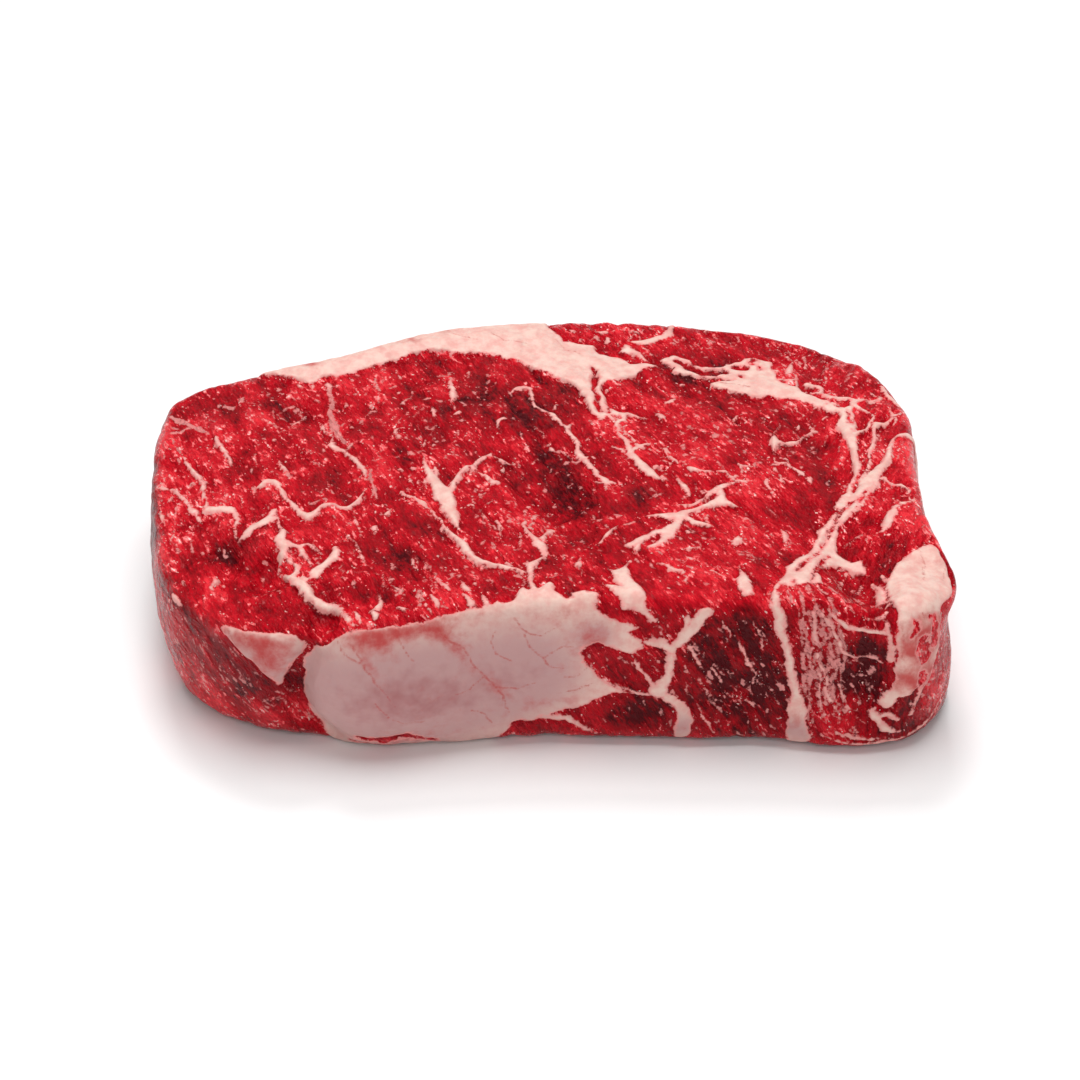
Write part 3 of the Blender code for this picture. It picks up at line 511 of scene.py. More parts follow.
    (64.6, 29.6, 2, 65.4, 27.4, 1.8, 66.6, 26, 2.4, 68.4, 25.8, 2, 70, 26.6, 2),
    (78.8, 37.9, 1.2, 79, 35.4, 1.6, 78.8, 33.2, 1.6, 80.3, 31.6, 2, 81.9, 30, 2.2, 83.4, 28, 2),
    (55.6, 45.9, 0.6, 54.6, 44, 0.5, 55.2, 42.2, 0.6, 57, 41.9, 0.9),
    (55.4, 39.6, 0.5, 56.6, 38.9, 0.5, 58.4, 39, 0.9),
    (66.6, 44.8, 0.3, 65.6, 42.3, 0.5, 66.3, 40.2, 0.3),
    (66.8, 49.2, 0.4, 67, 48, 0.5),
    (62.1, 52.8, 0.5, 61.9, 52.2, 0.5),
    (74.1, 35.9, 0.3, 73.4, 37.4, 0.4, 73.1, 38.4, 0.3),
    (66.2, 28.4, 1.6, 67.4, 27.9, 1),
)

# Outlines of the fat masses there, as x, y, x, y and so on.
MASSES = (
    # fat band along the back, and the knot it ends in
    (-66, 52, -66.2, 46.5, -65.3, 45, -64.4, 43.9, -62.5, 43.3, -60.3, 42.1, -58.1, 41, -56.3, 40.2,
     -54.7, 39.2, -53.4, 38.3, -52.5, 36.8, -51.9, 38, -51.6, 39.3, -50.9, 40.5, -50, 41.2, -48.4, 41.2,
     -47.5, 40.6, -45.9, 40.7, -44.1, 41.4, -41.9, 42.5, -40, 43.4, -37.5, 44.4, -35.3, 45.4, -33.1, 46.6,
     -31.3, 47.9, -29.7, 48.8, -27.8, 49.4, -25, 49.8, -22.5, 49.6, -19.7, 49.1, -16.9, 49, -14.4, 49.4,
     -11.9, 49.1, -9.7, 48.5, -8.1, 47.3, -6.3, 46.6, -4.4, 45.7, -2.5, 44.1, -0.6, 42.9, 1.6, 41.6, 3.4,
     40.5, 5.3, 38.6, 7.2, 36.8, 8.4, 34.9, 9.1, 33, 9.7, 31.1, 10.3, 29.4, 10.9, 26.9, 11.4, 24.4, 12.1,
     22.2, 13, 20, 14, 21.6, 14.6, 22.4, 15.2, 21, 15.9, 20.7, 16.9, 19.2, 18.2, 19.4, 19.2, 20.3, 19.6,
     22.3, 20, 23.8, 19.7, 24.8, 18.1, 24.8, 17.2, 25.7, 16.1, 26.8, 15.2, 28.4, 14.8, 31, 14.4, 33, 14.1,
     35.2, 14.4, 36.8, 15.3, 38.3, 15.9, 38.2, 16.9, 37.7, 17.8, 38.6, 19.1, 39.3, 20, 40.2, 21.3, 40.5,
     22.2, 41.4, 22.8, 43, 23.8, 43.9, 25, 44.7, 27.5, 44.9, 28.8, 44.3, 29.3, 43.4, 29.6, 43.8, 28.1,
     45.3, 26.9, 46.2, 25, 46.8, 22.5, 46.6, 20.6, 46.7, 19.4, 48.3, 18.4, 49.9, 16.3, 50.2, 14.4, 50.8,
     13.4, 52.4, 13.1, 54.7, 10.6, 54.9, 9.4, 55.5, 7.5, 56.4, 5.9, 56.1, 5, 58.3, 3.4, 59.9, 2.2, 61.1,
     1.6, 64, 1.6, 74, -20, 74, -50, 62),
    # wedge between the right muscle and the cap
    (38.7, 38.4, 40.3, 39, 43, 39.3, 45, 39.6, 46.5, 41.8, 48, 43.5, 49.4, 44.8, 50.4, 46.6, 50.9, 48,
     50.9, 49.7, 52.5, 48.7, 54, 48.2, 53.75, 46, 53.75, 44.1, 54.5, 41.3, 55, 39.4, 55.9, 38.2, 57.5,
     37.1, 58.8, 36.8, 59.7, 36, 60.3, 34.4, 61.6, 32.6, 63.1, 31, 64.7, 29.8, 65, 27.9, 65.6, 26.8, 66.8,
     26.2, 66.8, 24.4, 65.2, 25, 63.8, 25.9, 61.9, 27.4, 60, 29.2, 58.1, 30.4, 55.6, 30.4, 53.8, 30.8,
     52.5, 31.9, 50.3, 31.5, 47.5, 31.9, 45.9, 33.2, 42.8, 34.8, 40, 36.3, 38.7, 37.7),
    # marbled fat over the wedge
    (28.3, 48, 28.3, 48.9, 28.8, 49.6, 30, 49.9, 30.6, 50.8, 31.6, 50.5, 32.8, 49.6, 34.7, 48.6, 35.3,
     46.8, 37.2, 45.6, 38.4, 46.4, 39.4, 45.7, 42.2, 45.9, 43.1, 47.7, 43.8, 46.8, 45, 47.9, 47.5, 49,
     49.4, 49.9, 50.9, 49.7, 51.2, 46, 50.4, 42.5, 48, 40, 45, 39.5, 42.5, 39.9, 40.6, 40.5, 39, 40.5,
     36.9, 40.8, 34.4, 42, 32.5, 42.7, 30.6, 43.6, 30.9, 44.9, 29.7, 46.8),
    # lumps at the head of the cap
    (20.3, 54.6, 19.4, 53, 18.8, 51.8, 20, 50.5, 22.5, 50.2, 23.8, 50.8, 21.9, 52.4, 21.3, 53.9),
    # top of the fat cap on the front side
    (-38, -57, -38, -55.6, -34, -55, -30, -54.2, -26, -53, -23, -51.9, -20, -51.2, -12, -50.6, -8.4,
     -49.8, -5.5, -48.8, -4.8, -47, -4, -45.2, -3.1, -44.4, -2.4, -45.3, -1.2, -45, -0.6, -44.4, 0.6,
     -43.3, 1.9, -42.4, 2.9, -43.5, 3, -45.5, 4.2, -46.6, 5, -47.6, 5.3, -52, -8, -56),
    (6.3, -52, 6.4, -49, 5.9, -45.6, 6.9, -46.3, 8.8, -45.9, 10.6, -46.6, 11.6, -47.5, 12, -49, 12.2, -52),
    # tongue at the front
    (18.4, -33.9, 18.1, -37.2, 18.3, -40, 19.1, -42.5, 20.3, -43.8, 20.6, -45.3, 21.3, -47.2, 21.9, -48.4,
     21.7, -50, 22.8, -51, 22.8, -53, 19.2, -53, 19, -52.2, 17.2, -50, 15.5, -48.2, 14, -46, 13.2, -43.6,
     16.4, -44.6, 15.8, -43.5, 15, -42, 14.6, -40, 14.2, -38.5, 13.8, -37.3, 15.2, -38, 16, -37.5, 16.9,
     -36.6),
    (41, -35.5, 41.3, -38, 42, -40, 42.8, -42, 43.2, -44, 43.3, -46, 43.1, -48.2, 40.5, -47.3, 40, -45.5,
     39.7, -43.5, 40, -41, 40.6, -39, 40.7, -37),
    # seam fat as it widens to the front
    (65, -10, 63.6, -13.1, 61.8, -16.3, 59.9, -19, 58.6, -20.6, 57.7, -24, 56.4, -27.5, 54.9, -30.3, 52.7,
     -33.1, 51.1, -35.9, 49.9, -38.4, 49.3, -40.6, 48.4, -42.2, 47.4, -44.6, 49.8, -43.2, 52.2, -44.2,
     54.8, -43.4, 57.4, -42.6, 57.8, -40.6, 57, -38.4, 57.4, -36.2, 59, -34.4, 60.5, -32.8, 62, -32.3,
     64.2, -32, 65, -33.8, 67.2, -33.5, 67.3, -30, 65, -29.6, 63.5, -28.5, 62.3, -27.5, 62, -25.5, 62.2,
     -23, 62.8, -20.5, 64.9, -18, 66.5, -16, 68, -13, 67.6, -10),
    # corner fat
    (78.9, -27, 76, -28.8, 74.2, -30.9, 73.2, -32.9, 72.2, -35.4, 71, -37.6, 70.5, -40, 70.2, -43.1,
     70.4, -45.3, 71.2, -47.5, 72.7, -50.6, 73.4, -56, 80.4, -57, 81.8, -50.6, 82.7, -47.5, 83.9, -44.4,
     84.7, -42.5, 85.3, -39.4, 85.3, -36.6, 85, -33.1, 84.4, -29.4, 83.9, -26.3, 82.4, -24.7),
    # lip of fat round the front left corner
    (-79.5, -34.6, -78, -36, -75.6, -40.8, -70, -46.6, -65, -49.3, -62.5, -50.4, -60, -50.6, -56.3, -51.2,
     -53.4, -51.7, -50.5, -52.6, -48.6, -53.2, -48.4, -60, -66, -58, -80, -46, -81, -36),
)

# Meat showing through those masses, as lines of x, y, width.
CUTS = (
    # slits and islands of meat in the fat
    (11.9, 44.3, 0.4, 12.5, 43, 0.7, 12.7, 41.4, 0.8, 12.5, 39.9, 1.2, 12.5, 38.3, 1, 12.5, 36.8, 0.5,
     12.4, 35.2, 0.5, 12.5, 33.6, 0.6, 12.7, 31.1, 0.6, 12.9, 28.8, 0.8, 13.3, 26.6, 0.7, 13.8, 24.8, 0.3),
    (18, 22.4, 0.9, 17.9, 21.5, 0.6),
    (16, 22.6, 0.5, 16.5, 20.6, 0.4),
    (15.1, 24.4, 0.5, 15.3, 26.4, 0.5),
    (31.9, 48, 0.9, 33.6, 47, 1.6, 34.6, 45.4, 1.6, 36.2, 44, 1.8, 38, 43, 2.4, 40.4, 43, 3, 42.6, 43.4,
     1.8),
    (42.8, 44.2, 0.5, 43.2, 42.4, 0.5),
    (45.4, 45.4, 2, 46.2, 45.1, 2.4, 47.4, 45, 2),
    (50, 48.7, 1.1, 49.9, 48.4, 1.1),
    (48.6, 47.4, 0.5, 49.4, 46.6, 0.5),
    (46.2, 41.2, 0.7, 46.6, 40.8, 0.7),
    (50.7, 45.2, 0.6, 50.9, 44.2, 0.5),
    (66.2, -11, 0.5, 64.4, -14.5, 0.7, 62.6, -18, 0.5, 61.3, -21, 0.3),
    (62.4, -18.5, 0.2, 60.2, -23, 0.4, 58.4, -27.5, 0.3, 56.3, -31.5, 0.4, 54, -35, 0.4, 52.4, -38, 0.2),
    (59.8, -29.5, 0.2, 58.2, -33, 0.4, 56.6, -36, 0.3, 55.6, -40, 0.3, 55.2, -44, 0.5, 55.6, -48, 0.7),
    (51.6, -42, 0.2, 51, -46, 0.5, 50.6, -50, 0.7),
    (-4.5, -50, 0.3, -4.2, -51.4, 0.3),
)

# The same on the side: s along the rim from the left end round the front, z, width.
SIDE_VEINS = (
    # left: nerve of fat under the corner
    (127, 20, 0.5, 133, 17.5, 0.9, 138, 15.2, 1, 143, 14, 0.9, 146, 12, 0.6),
    (138, 24, 0.6, 139.5, 21, 1, 142, 18, 1, 144, 15.5, 0.8),
    (118, 7.6, 0.6, 120, 8, 1.4, 125, 7.5, 1.6, 128, 5, 1.4, 131, 3.5, 0.8),
    # branching fat beside the middle
    (153.5, 36, 2.5, 151, 32, 3, 149, 29.5, 3, 147, 27, 2, 146, 24, 2, 145.8, 20, 2, 145, 17, 3, 144, 15,
     4),
    (149.5, 33.5, 1.6, 149, 30, 1.8),
    (141, 28, 1.4, 144, 28, 2.2, 146, 26.5, 2),
    (146, 13, 3, 148.5, 11, 3, 149.5, 8, 3.5, 149.5, 5, 4, 149, 3.5, 3.5),
    (136, 36.5, 1, 140, 36, 1.8, 142.5, 33.5, 1.6),
    (150, 27, 1, 152, 24, 0.8, 153, 21, 0.5),
    # streaks in the dark lean
    (159, 30, 0.4, 161, 26, 0.7, 163, 21.5, 0.8, 164, 19.5, 0.8, 163, 17.5, 0.4),
    (162.5, 23.4, 1, 162.5, 22.6, 1),
    (155, 21, 0.3, 157, 18, 0.6, 158, 15, 0.3),
    (152.5, 18.5, 0.4, 154, 15, 0.5, 155, 12.5, 0.3),
    (157, 18, 0.3, 160, 12.5, 0.4),
    (160, 16, 0.3, 164, 11, 0.5),
    (156, 34, 0.3, 157.5, 31, 0.5, 158.5, 28, 0.3),
    (163, 33, 0.3, 164.5, 29, 0.5, 165, 26, 0.3),
    (153, 9, 0.5, 155, 6, 0.6, 156, 4, 0.4),
    # white seam
    (166.5, 38, 2, 168, 35, 2.5, 168.5, 31, 2.5, 169.5, 27.5, 2, 170.8, 24, 2, 171.7, 20, 2.2, 172.5, 16,
     2.5, 173, 13, 3, 173, 10, 4.5, 173.5, 6, 5.5, 173.5, 3, 5),
    # web behind the seam
    (175, 38, 0.8, 176, 30, 0.9, 177, 24, 0.8, 179, 17, 0.9, 181, 12, 0.6),
    (177, 36, 1, 180, 31, 1, 182, 26.5, 0.9, 184, 25, 0.8, 188, 24.5, 0.8, 190, 23.5, 0.6),
    (179, 36, 1.2, 183, 32.5, 1.4, 187, 32, 1.4, 190, 31.5, 1.2),
    (175, 25, 0.5, 177, 20, 0.7, 178, 14, 0.8, 179, 10, 0.6),
    (180, 22, 0.5, 182, 16, 0.7, 184, 12, 0.8, 186, 11.5, 0.5),
    (183, 38, 1.2, 186, 35.5, 1.2, 190, 35, 1.4),
    # corner fat columns
    (190.5, 34, 1, 190.5, 32, 1.2, 191, 29, 1.5, 191.5, 25, 2),
    (193, 38, 3, 193.5, 34, 3, 193.5, 30, 3, 194, 25, 2, 194.5, 20, 3, 193.5, 16, 3, 191.5, 13, 3),
    (188.5, 11.5, 1.2, 189.5, 10, 2.4, 191, 8.5, 1.8, 191.5, 7, 2.6, 193, 5.6, 1.4, 195, 5.4, 0.8),
    (189.5, 10, 1, 192.5, 10.4, 1.4, 195, 8.5, 0.8),
    (199.4, 17, 1.6, 198.8, 13, 1.2, 197.4, 9.5, 0.8),
    (178, 5.4, 0.4, 184, 2.8, 0.7, 191, 2, 0.9, 198, 3.4, 1.1, 204, 6, 0.9, 209, 9.5, 0.6),
    (182, 6, 1.2, 186, 4.6, 1.4, 189, 3.5, 1),
)

# Outlines of the fat masses on the side, as s, z.
SIDE_MASSES = (
    # fat triangle under the left corner
    (46, 31.9, 52, 32.2, 60, 32.5, 66, 32.6, 69, 31.8, 70.2, 30, 70.4, 28.5, 69.5, 26, 68.1, 24, 66.9, 22,
     66, 20.2, 65.6, 19.9, 64.9, 17.7, 63.6, 17.4, 62.7, 19, 61.5, 20.6, 60.3, 22.4, 58.3, 24.3, 56.1,
     25.8, 54.4, 27.2, 52.8, 28.9, 50.6, 30.1, 47.5, 31, 40.6, 30.9, 37.5, 29.2, 35.3, 29, 33.7, 30, 34,
     31.2, 39, 33.1, 45, 33.9),
    # fat cap of the front side, from its lobe to its peak
    (74, 30.5, 71.5, 28, 70, 25, 69, 22, 68.3, 18, 68.3, 15.5, 69, 12, 69.9, 8, 71.3, 5, 73, 2, 76, -3,
     108, -3, 110, 1.5, 112, 4, 113, 6.5, 114, 7, 117, 6.7, 120, 8, 123, 9.5, 127, 10.5, 130, 12.5, 134,
     14, 138, 14.6, 136, 16, 133, 17.5, 131, 19.5, 129, 22, 127.5, 25, 129, 27, 130.5, 27.8, 133, 27, 136,
     25.5, 138, 24.5, 140.4, 26.5, 140.3, 29, 138, 30.5, 139.8, 31.8, 137, 33, 134, 33.6, 132, 35, 129,
     37.7, 128, 41, 112, 41, 108, 38, 101, 36.6, 97, 35, 90, 34.4, 84, 34.4, 79, 33.4, 76, 32.3),
    # corner fat
    (191.4, 40, 192, 33, 193, 27, 192.4, 22, 193, 17, 194.4, 14.4, 196.6, 14.8, 198.6, 17.4, 200.5, 16.8,
     202.2, 20, 203.4, 25, 203.8, 31, 203, 40),
)

# Meat showing through those, as s, z, width.
SIDE_CUTS = (
    (79.8, 5.6, 0.5, 82, 5, 1, 85.5, 5, 1.8, 88.5, 5.8, 1, 91, 6, 1.5, 94, 4.2, 0.8, 97, 3, 0.5),
    (78.5, 3.2, 0.4, 84, 2, 0.9, 90, 1.6, 0.6),
    (197.6, 29.4, 1.8, 198.4, 27, 3.4, 199, 24.4, 2.4),
    (201, 33.4, 1.2, 201.6, 30, 2.4, 201.4, 26.6, 1.6),
    (198, 20.6, 1.4, 198.8, 18.6, 2.2),
    (195.6, 35, 0.6, 196, 32.6, 0.8, 195.4, 31, 0.5),
    (199.4, 36, 0.6, 199.8, 34, 0.8),
    (171, 22, 0.3, 171.9, 18, 0.4, 173, 14.4, 0.4, 174, 12, 0.2),
    (84.2, 5.2, 0.6, 85.5, 5, 1.2, 87, 5.2, 0.6),
)

# Web of pink strands that fan out behind the white seam of the side. Each point of a strand, from its top
# down, has its s, how much further the last strand's stands and how far it sways, the same of its z, and a
# width.
WEB_STRANDS = 13
WEB_SWAY = 0.9
WEB_SWAY_STEP = 2.4  # radians from one strand's sway to the next one's
WEB = (
    (172.2, 7.5, 0.0, 38.0, 0.0, 0.0, 0.6),
    (172.8, 8.5, 1.0, 31.0, 0.0, -1.0, 0.8),
    (173.6, 8.5, -0.7, 24.0, 3.0, 0.0, 0.8),
    (174.5, 7.5, 0.6, 16.0, 3.0, 0.0, 0.7),
    (176.0, 7.5, 0.0, 8.0, 2.0, 2.0, 0.3),
)

# Pale pink bands and threads of connective tissue on the upper cut face: x, y, width.
PINKS = (
    # strands over the edge, from the seam fat to the web below it
    (50, -43.6, 0.5, 50.4, -47, 0.8, 50.6, -50, 0.9, 50.8, -54, 0.8),
    (52.2, -44, 0.6, 52.6, -47.5, 0.9, 53, -51, 0.9, 53.4, -55, 0.8),
    (54.2, -43.6, 0.6, 55, -47, 0.8, 55.8, -50.5, 0.8, 56.4, -54, 0.7),
    (56, -43, 0.6, 57.6, -46.5, 0.8, 59, -50, 0.7, 60, -53.6, 0.6),
    (57.6, -41.4, 0.5, 60, -45, 0.7, 62.4, -48.6, 0.7, 64, -52, 0.6),
    (58.6, -43, 0.4, 62.4, -46.4, 0.6, 66, -49.6, 0.6),
    # pale bands at the left end
    (-84.4, 29.4, 1.4, -82.8, 28.1, 1.8, -80.9, 26.3, 2.2, -79.1, 24.4, 2, -77.5, 22.8, 1.8, -75.9, 20.9,
     1.4, -74.4, 19.1, 0.8),
    (-82.8, 23.8, 1.2, -81.9, 23.4, 0.9),
    (-79.7, 22.5, 1.2, -80.9, 21.9, 1, -82.2, 20.9, 1.5),
    (-82.5, 18.4, 0.5, -81.4, 15.9, 0.7, -80.3, 13.8, 0.7, -79.4, 11.6, 0.6),
    (-59.7, 27.8, 0.3, -57.8, 26.6, 0.5, -55.9, 25, 0.4),
    (-58.6, 28.6, 0.4, -57.8, 30, 0.6, -56.2, 30.6, 0.7, -54.8, 29.8, 0.6, -54.3, 28.6, 0.4),
    (-49.4, -10.6, 0.6, -47.8, -10.9, 0.7, -45.9, -10.3, 0.6),
    (-46.6, 0, 0.4, -45.9, -2.2, 0.6, -45.3, -4.1, 0.5, -44.4, -6.3, 1),
    (-49.4, -4.4, 0.5, -47.5, -7.5, 0.3),
    (-75, -10.2, 0.4, -73.6, -11.8, 0.6, -72.6, -13.3, 0.4),
    (-74.2, -20.5, 0.4, -73.6, -22.8, 0.5, -73.2, -25.5, 0.3),
    (-68.4, -2.2, 0.4, -67.8, -4.4, 0.6, -67, -6.9, 0.4),
    (-64.4, 33, 0.6, -63.1, 30.2, 0.4),
    (-71.8, 31.8, 1, -70.4, 30.6, 1.4, -69.8, 31.8, 0.7),
    (-68.1, 34.4, 1.2, -68, 32.8, 1),
    # lacy strip down to the main vein
    (-49, 38.6, 1, -48.5, 36.4, 1.2, -48.4, 34.3, 1.6, -47.8, 32.4, 1.5, -47.5, 30, 1.4, -47.4, 27.4, 1.4,
     -47.2, 24.9, 1.6, -46.3, 22.2, 2.2, -45.9, 19.8, 2, -45.2, 17.2, 1.6, -43.4, 14, 1, -42, 12, 0.6),
    (-37.5, 1, 0.8, -36.6, -3, 0.8, -35.6, -7, 0.8, -35, -10, 0.5),
    # threads of the middle muscle
    (-37.9, 26.6, 0.6, -38.8, 24.4, 0.4),
    (-33.8, 35, 0.9, -32.8, 36.6, 0.5),
    (-20.9, 42.6, 0.8, -20.9, 41.2, 0.9),
    (-20.6, 5.9, 0.3, -20.6, 4.6, 0.7, -20.3, 2.8, 0.3),
    (-23.8, 18.4, 0.5, -24.2, 16.9, 0.9, -24.5, 15, 0.5),
    (-17.8, 16.3, 0.7, -18.1, 13.8, 0.6, -18.8, 11.6, 0.4),
    (-4.4, -39, 0.5, -3.4, -40.6, 0.7, -3.1, -43.1, 0.5),
    (11, -16, 0.5, 11.6, -17.8, 0.6, 12.8, -18.4, 0.6, 14.7, -18.4, 0.5),
    (15.6, -16.6, 0.8, 16.6, -17.5, 0.9),
    (17.6, -21, 0.5, 20, -20, 0.6),
    (2.8, 10, 0.4, 4.4, 9.9, 0.5, 5.4, 8.6, 0.5),
    (6.9, 5.6, 0.5, 8.1, 3.8, 0.3),
    (0.6, 14.2, 0.4, 0.8, 13, 0.4, 1.7, 12, 0.6),
    # thin lines of the right muscle
    (10.9, 20.9, 0.5, 11.9, 17.5, 0.4, 12.8, 11.3, 0.3),
    (13.8, 13.4, 0.4, 15.3, 10.6, 0.3),
    (17.2, 3.1, 0.3, 18.4, 1.3, 0.4),
    (23.4, -10.9, 0.5, 25.3, -9.4, 0.8, 26.6, -8.1, 0.5),
    (74.7, 9, 0.4, 73.3, 7.5, 0.5),
    (75.8, 17.8, 0.6, 75.5, 15.3, 0.5, 74.9, 12.5, 0.3),
    (69.4, 37, 0.3, 71.3, 34.8, 0.4),
    (84, -20.5, 0.5, 85, -18.8, 0.7, 85.8, -17.2, 0.5),
    (81.2, -21.4, 0.5, 80.6, -20, 0.5, 81.6, -18.8, 0.5),
    (81.6, -25, 0.5, 80.8, -23.6, 0.5, 81.6, -22.4, 0.5),
    (40.9, -10.2, 0.4, 42.6, -9.4, 0.5),
)

# Round dots of fat on the upper cut face, as x, y, width. The five from (-1.1, 8.4) and the five from
# (8.3, -42.8) are painted glints, white spots where wet highlights would be.
DOTS_AND_PAINTED_GLINTS = (
    (-75.9, 0.6, 1.0), (-59.2, 15.0, 1.0), (-52.8, 14.4, 0.7), (-52.5, 9.4, 0.7), (-53.1, 10.6, 0.6),
    (-53.8, 6.9, 0.9), (-60.6, 22.8, 1.1), (-57.2, 20.0, 1.1), (-66.0, -3.4, 0.7), (-62.3, -2.8, 0.8),
    (-40.7, 21.9, 0.7), (-45.9, 27.8, 0.7), (-45.9, 26.8, 0.5), (-37.5, -5.9, 0.8), (-42.8, 35.7, 0.6),
    (-42.2, 33.3, 0.6), (-60.6, 28.3, 0.8), (-58.8, 33.0, 0.7), (-56.9, 33.2, 0.7), (-55.3, 32.8, 0.7),
    (-52.8, 33.6, 0.7), (-52.2, 30.8, 0.6), (-31.7, 44.4, 0.5), (-28.8, 44.8, 0.5), (-61.0, -37.8, 0.8),
    (-61.5, -34.8, 0.8), (-69.5, -23.8, 0.9), (-73.3, -14.8, 0.7), (-37.8, -31.0, 0.8), (-36.6, -32.6, 0.9),
    (-37.3, -13.8, 0.7), (-26.7, -24.2, 0.8), (-42.7, -22.5, 0.7), (-12.2, 33.8, 0.8), (-13.6, 27.1, 0.9),
    (-16.7, 41.9, 0.7), (-17.2, 40.2, 0.7), (-22.3, 38.0, 0.6), (-23.9, 34.1, 0.6), (-25.6, 37.3, 0.6),
    (-16.1, 35.2, 0.6), (-16.9, 30.7, 0.7), (-14.5, 31.0, 0.7), (-12.8, 30.7, 0.7), (-15.6, 27.3, 0.6),
    (-29.0, 33.8, 0.9), (-25.9, 30.0, 0.7), (-25.0, 29.4, 0.8), (-32.5, 33.5, 0.8), (-1.1, 8.4, 0.6),
    (-2.9, 11.9, 0.6), (-1.3, 14.0, 0.6), (-4.0, 12.8, 0.6), (-5.3, 11.6, 0.6), (-2.5, -3.1, 0.6),
    (-0.8, -3.8, 0.6), (-17.3, -7.3, 0.7), (-6.6, -16.4, 0.7), (-7.5, -15.8, 0.7), (-6.7, -13.0, 0.6),
    (-4.4, -14.6, 0.7), (-10.0, -23.8, 0.7), (-8.3, -26.3, 0.7), (-8.6, -48.9, 1.0), (-19.0, -42.4, 0.9),
    (-13.2, -42.0, 0.8), (8.3, -42.8, 0.7), (3.2, -39.8, 0.7), (2.7, -31.6, 0.7), (10.0, -28.4, 0.7),
    (9.0, -29.5, 0.6), (26.3, -31.3, 0.8), (30.9, -23.1, 1.1), (34.4, -23.4, 0.7), (30.9, -34.0, 0.9),
    (32.0, -36.9, 0.7), (46.3, -46.3, 0.8), (45.3, -46.9, 0.6), (48.0, -48.0, 0.7), (27.3, -5.6, 0.7),
    (32.5, -5.5, 0.8), (33.6, -6.6, 0.7), (35.5, -8.0, 0.6), (32.5, -10.5, 0.6), (61.6, 6.1, 0.6),
    (61.1, 7.5, 0.7), (63.3, 9.7, 0.7), (38.2, 59.2, 0.8), (36.6, 60.3, 0.6), (40.9, 61.2, 0.7),
    (34.1, 59.1, 1.0), (39.4, 62.8, 1.8), (37.2, 56.1, 0.7), (17.3, 28.1, 0.8), (15.5, 34.7, 1.0),
    (17.8, 36.8, 0.6), (22.5, 38.3, 0.8), (23.0, 40.2, 0.7), (24.1, 35.8, 0.6), (27.2, 36.8, 0.8),
    (28.0, 42.4, 0.6), (29.4, 40.8, 0.7), (32.5, 38.9, 1.0), (30.9, 35.8, 0.8), (65.8, 46.9, 0.6),
    (64.8, 52.6, 0.5), (59.4, 53.0, 0.6), (71.1, -10.6, 0.9), (70.5, -11.9, 0.8), (76.1, -11.6, 0.8),
)

# Oval pink dots there: x, y, width along x, width along y.
OVALS = (
    (41.9, 16.3, 0.9, 1.6), (38.6, 13.4, 1.3, 2.0), (40.6, 14.0, 1.0, 1.5), (31.1, 8.8, 1.2, 2.2),
    (32.3, 20.6, 1.0, 1.0), (36.3, 8.8, 1.0, 1.2), (37.7, 6.7, 1.6, 0.7), (36.3, 3.9, 1.3, 1.5),
    (33.6, 3.8, 1.1, 1.0), (32.2, 5.2, 0.8, 0.8), (30.3, 18.1, 0.6, 1.3), (33.1, 17.5, 1.0, 1.5),
    (35.2, 21.9, 0.5, 1.5), (31.6, 12.8, 0.7, 0.9), (32.7, 11.3, 0.7, 0.9), (35.3, 10.6, 0.8, 0.8),
    (36.6, 14.4, 0.7, 1.2), (41.9, 10.9, 1.0, 1.3), (45.0, 6.7, 0.9, 1.6), (47.8, 2.5, 1.0, 1.0),
    (45.3, 13.4, 1.0, 1.0), (27.0, 15.3, 0.8, 1.0), (36.9, 18.8, 0.5, 1.0), (38.3, 19.4, 0.5, 1.0),
    (36.6, 26.6, 0.5, 1.2), (56.6, 15.9, 0.5, 1.4), (62.4, 3.6, 0.9, 0.9), (64.6, 3.1, 0.8, 0.9),
    (63.9, -3.6, 0.6, 1.2), (66.1, -3.1, 0.8, 0.8), (-59.0, 21.3, 0.9, 0.9), (-72.8, 27.4, 0.9, 0.9),
)

# Scattered short flecks: x, y, half length and half width of their patch, its direction, their number,
# length and width.
FLECKS = (
    (-60, 0, 30, 34, 90, 130, 2.6, 0.5),  # left muscle
    (-62, 32, 16, 10, 15, 60, 1.6, 0.5),
    (-78, -20, 8, 14, 95, 40, 2.6, 0.5),
    (-45, -30, 16, 14, 120, 60, 2.6, 0.5),
    (-24, 26, 22, 18, 80, 150, 2.2, 0.5),  # middle muscle
    (-18, -6, 20, 18, 90, 110, 2.2, 0.5),
    (-16, -38, 24, 12, 0, 130, 2.4, 0.6),
    (2, -22, 10, 22, 95, 60, 2.4, 0.5),
    (24, -34, 24, 14, 0, 90, 2.4, 0.5),  # right muscle
    (38, 8, 26, 20, 20, 170, 1.8, 0.5),
    (36, 28, 24, 8, 0, 60, 1.8, 0.5),
    (42, -22, 18, 16, 60, 90, 2.2, 0.5),
    (8, 4, 8, 26, 100, 40, 2.2, 0.4),
    (64, 40, 16, 14, 0, 110, 2.4, 0.5),  # cap muscle
    (40, 56, 28, 8, 0, 130, 2.0, 0.5),
    (78, 10, 7, 30, 90, 110, 2.2, 0.5),
    (66, -40, 8, 12, 90, 60, 3.0, 0.5),
)
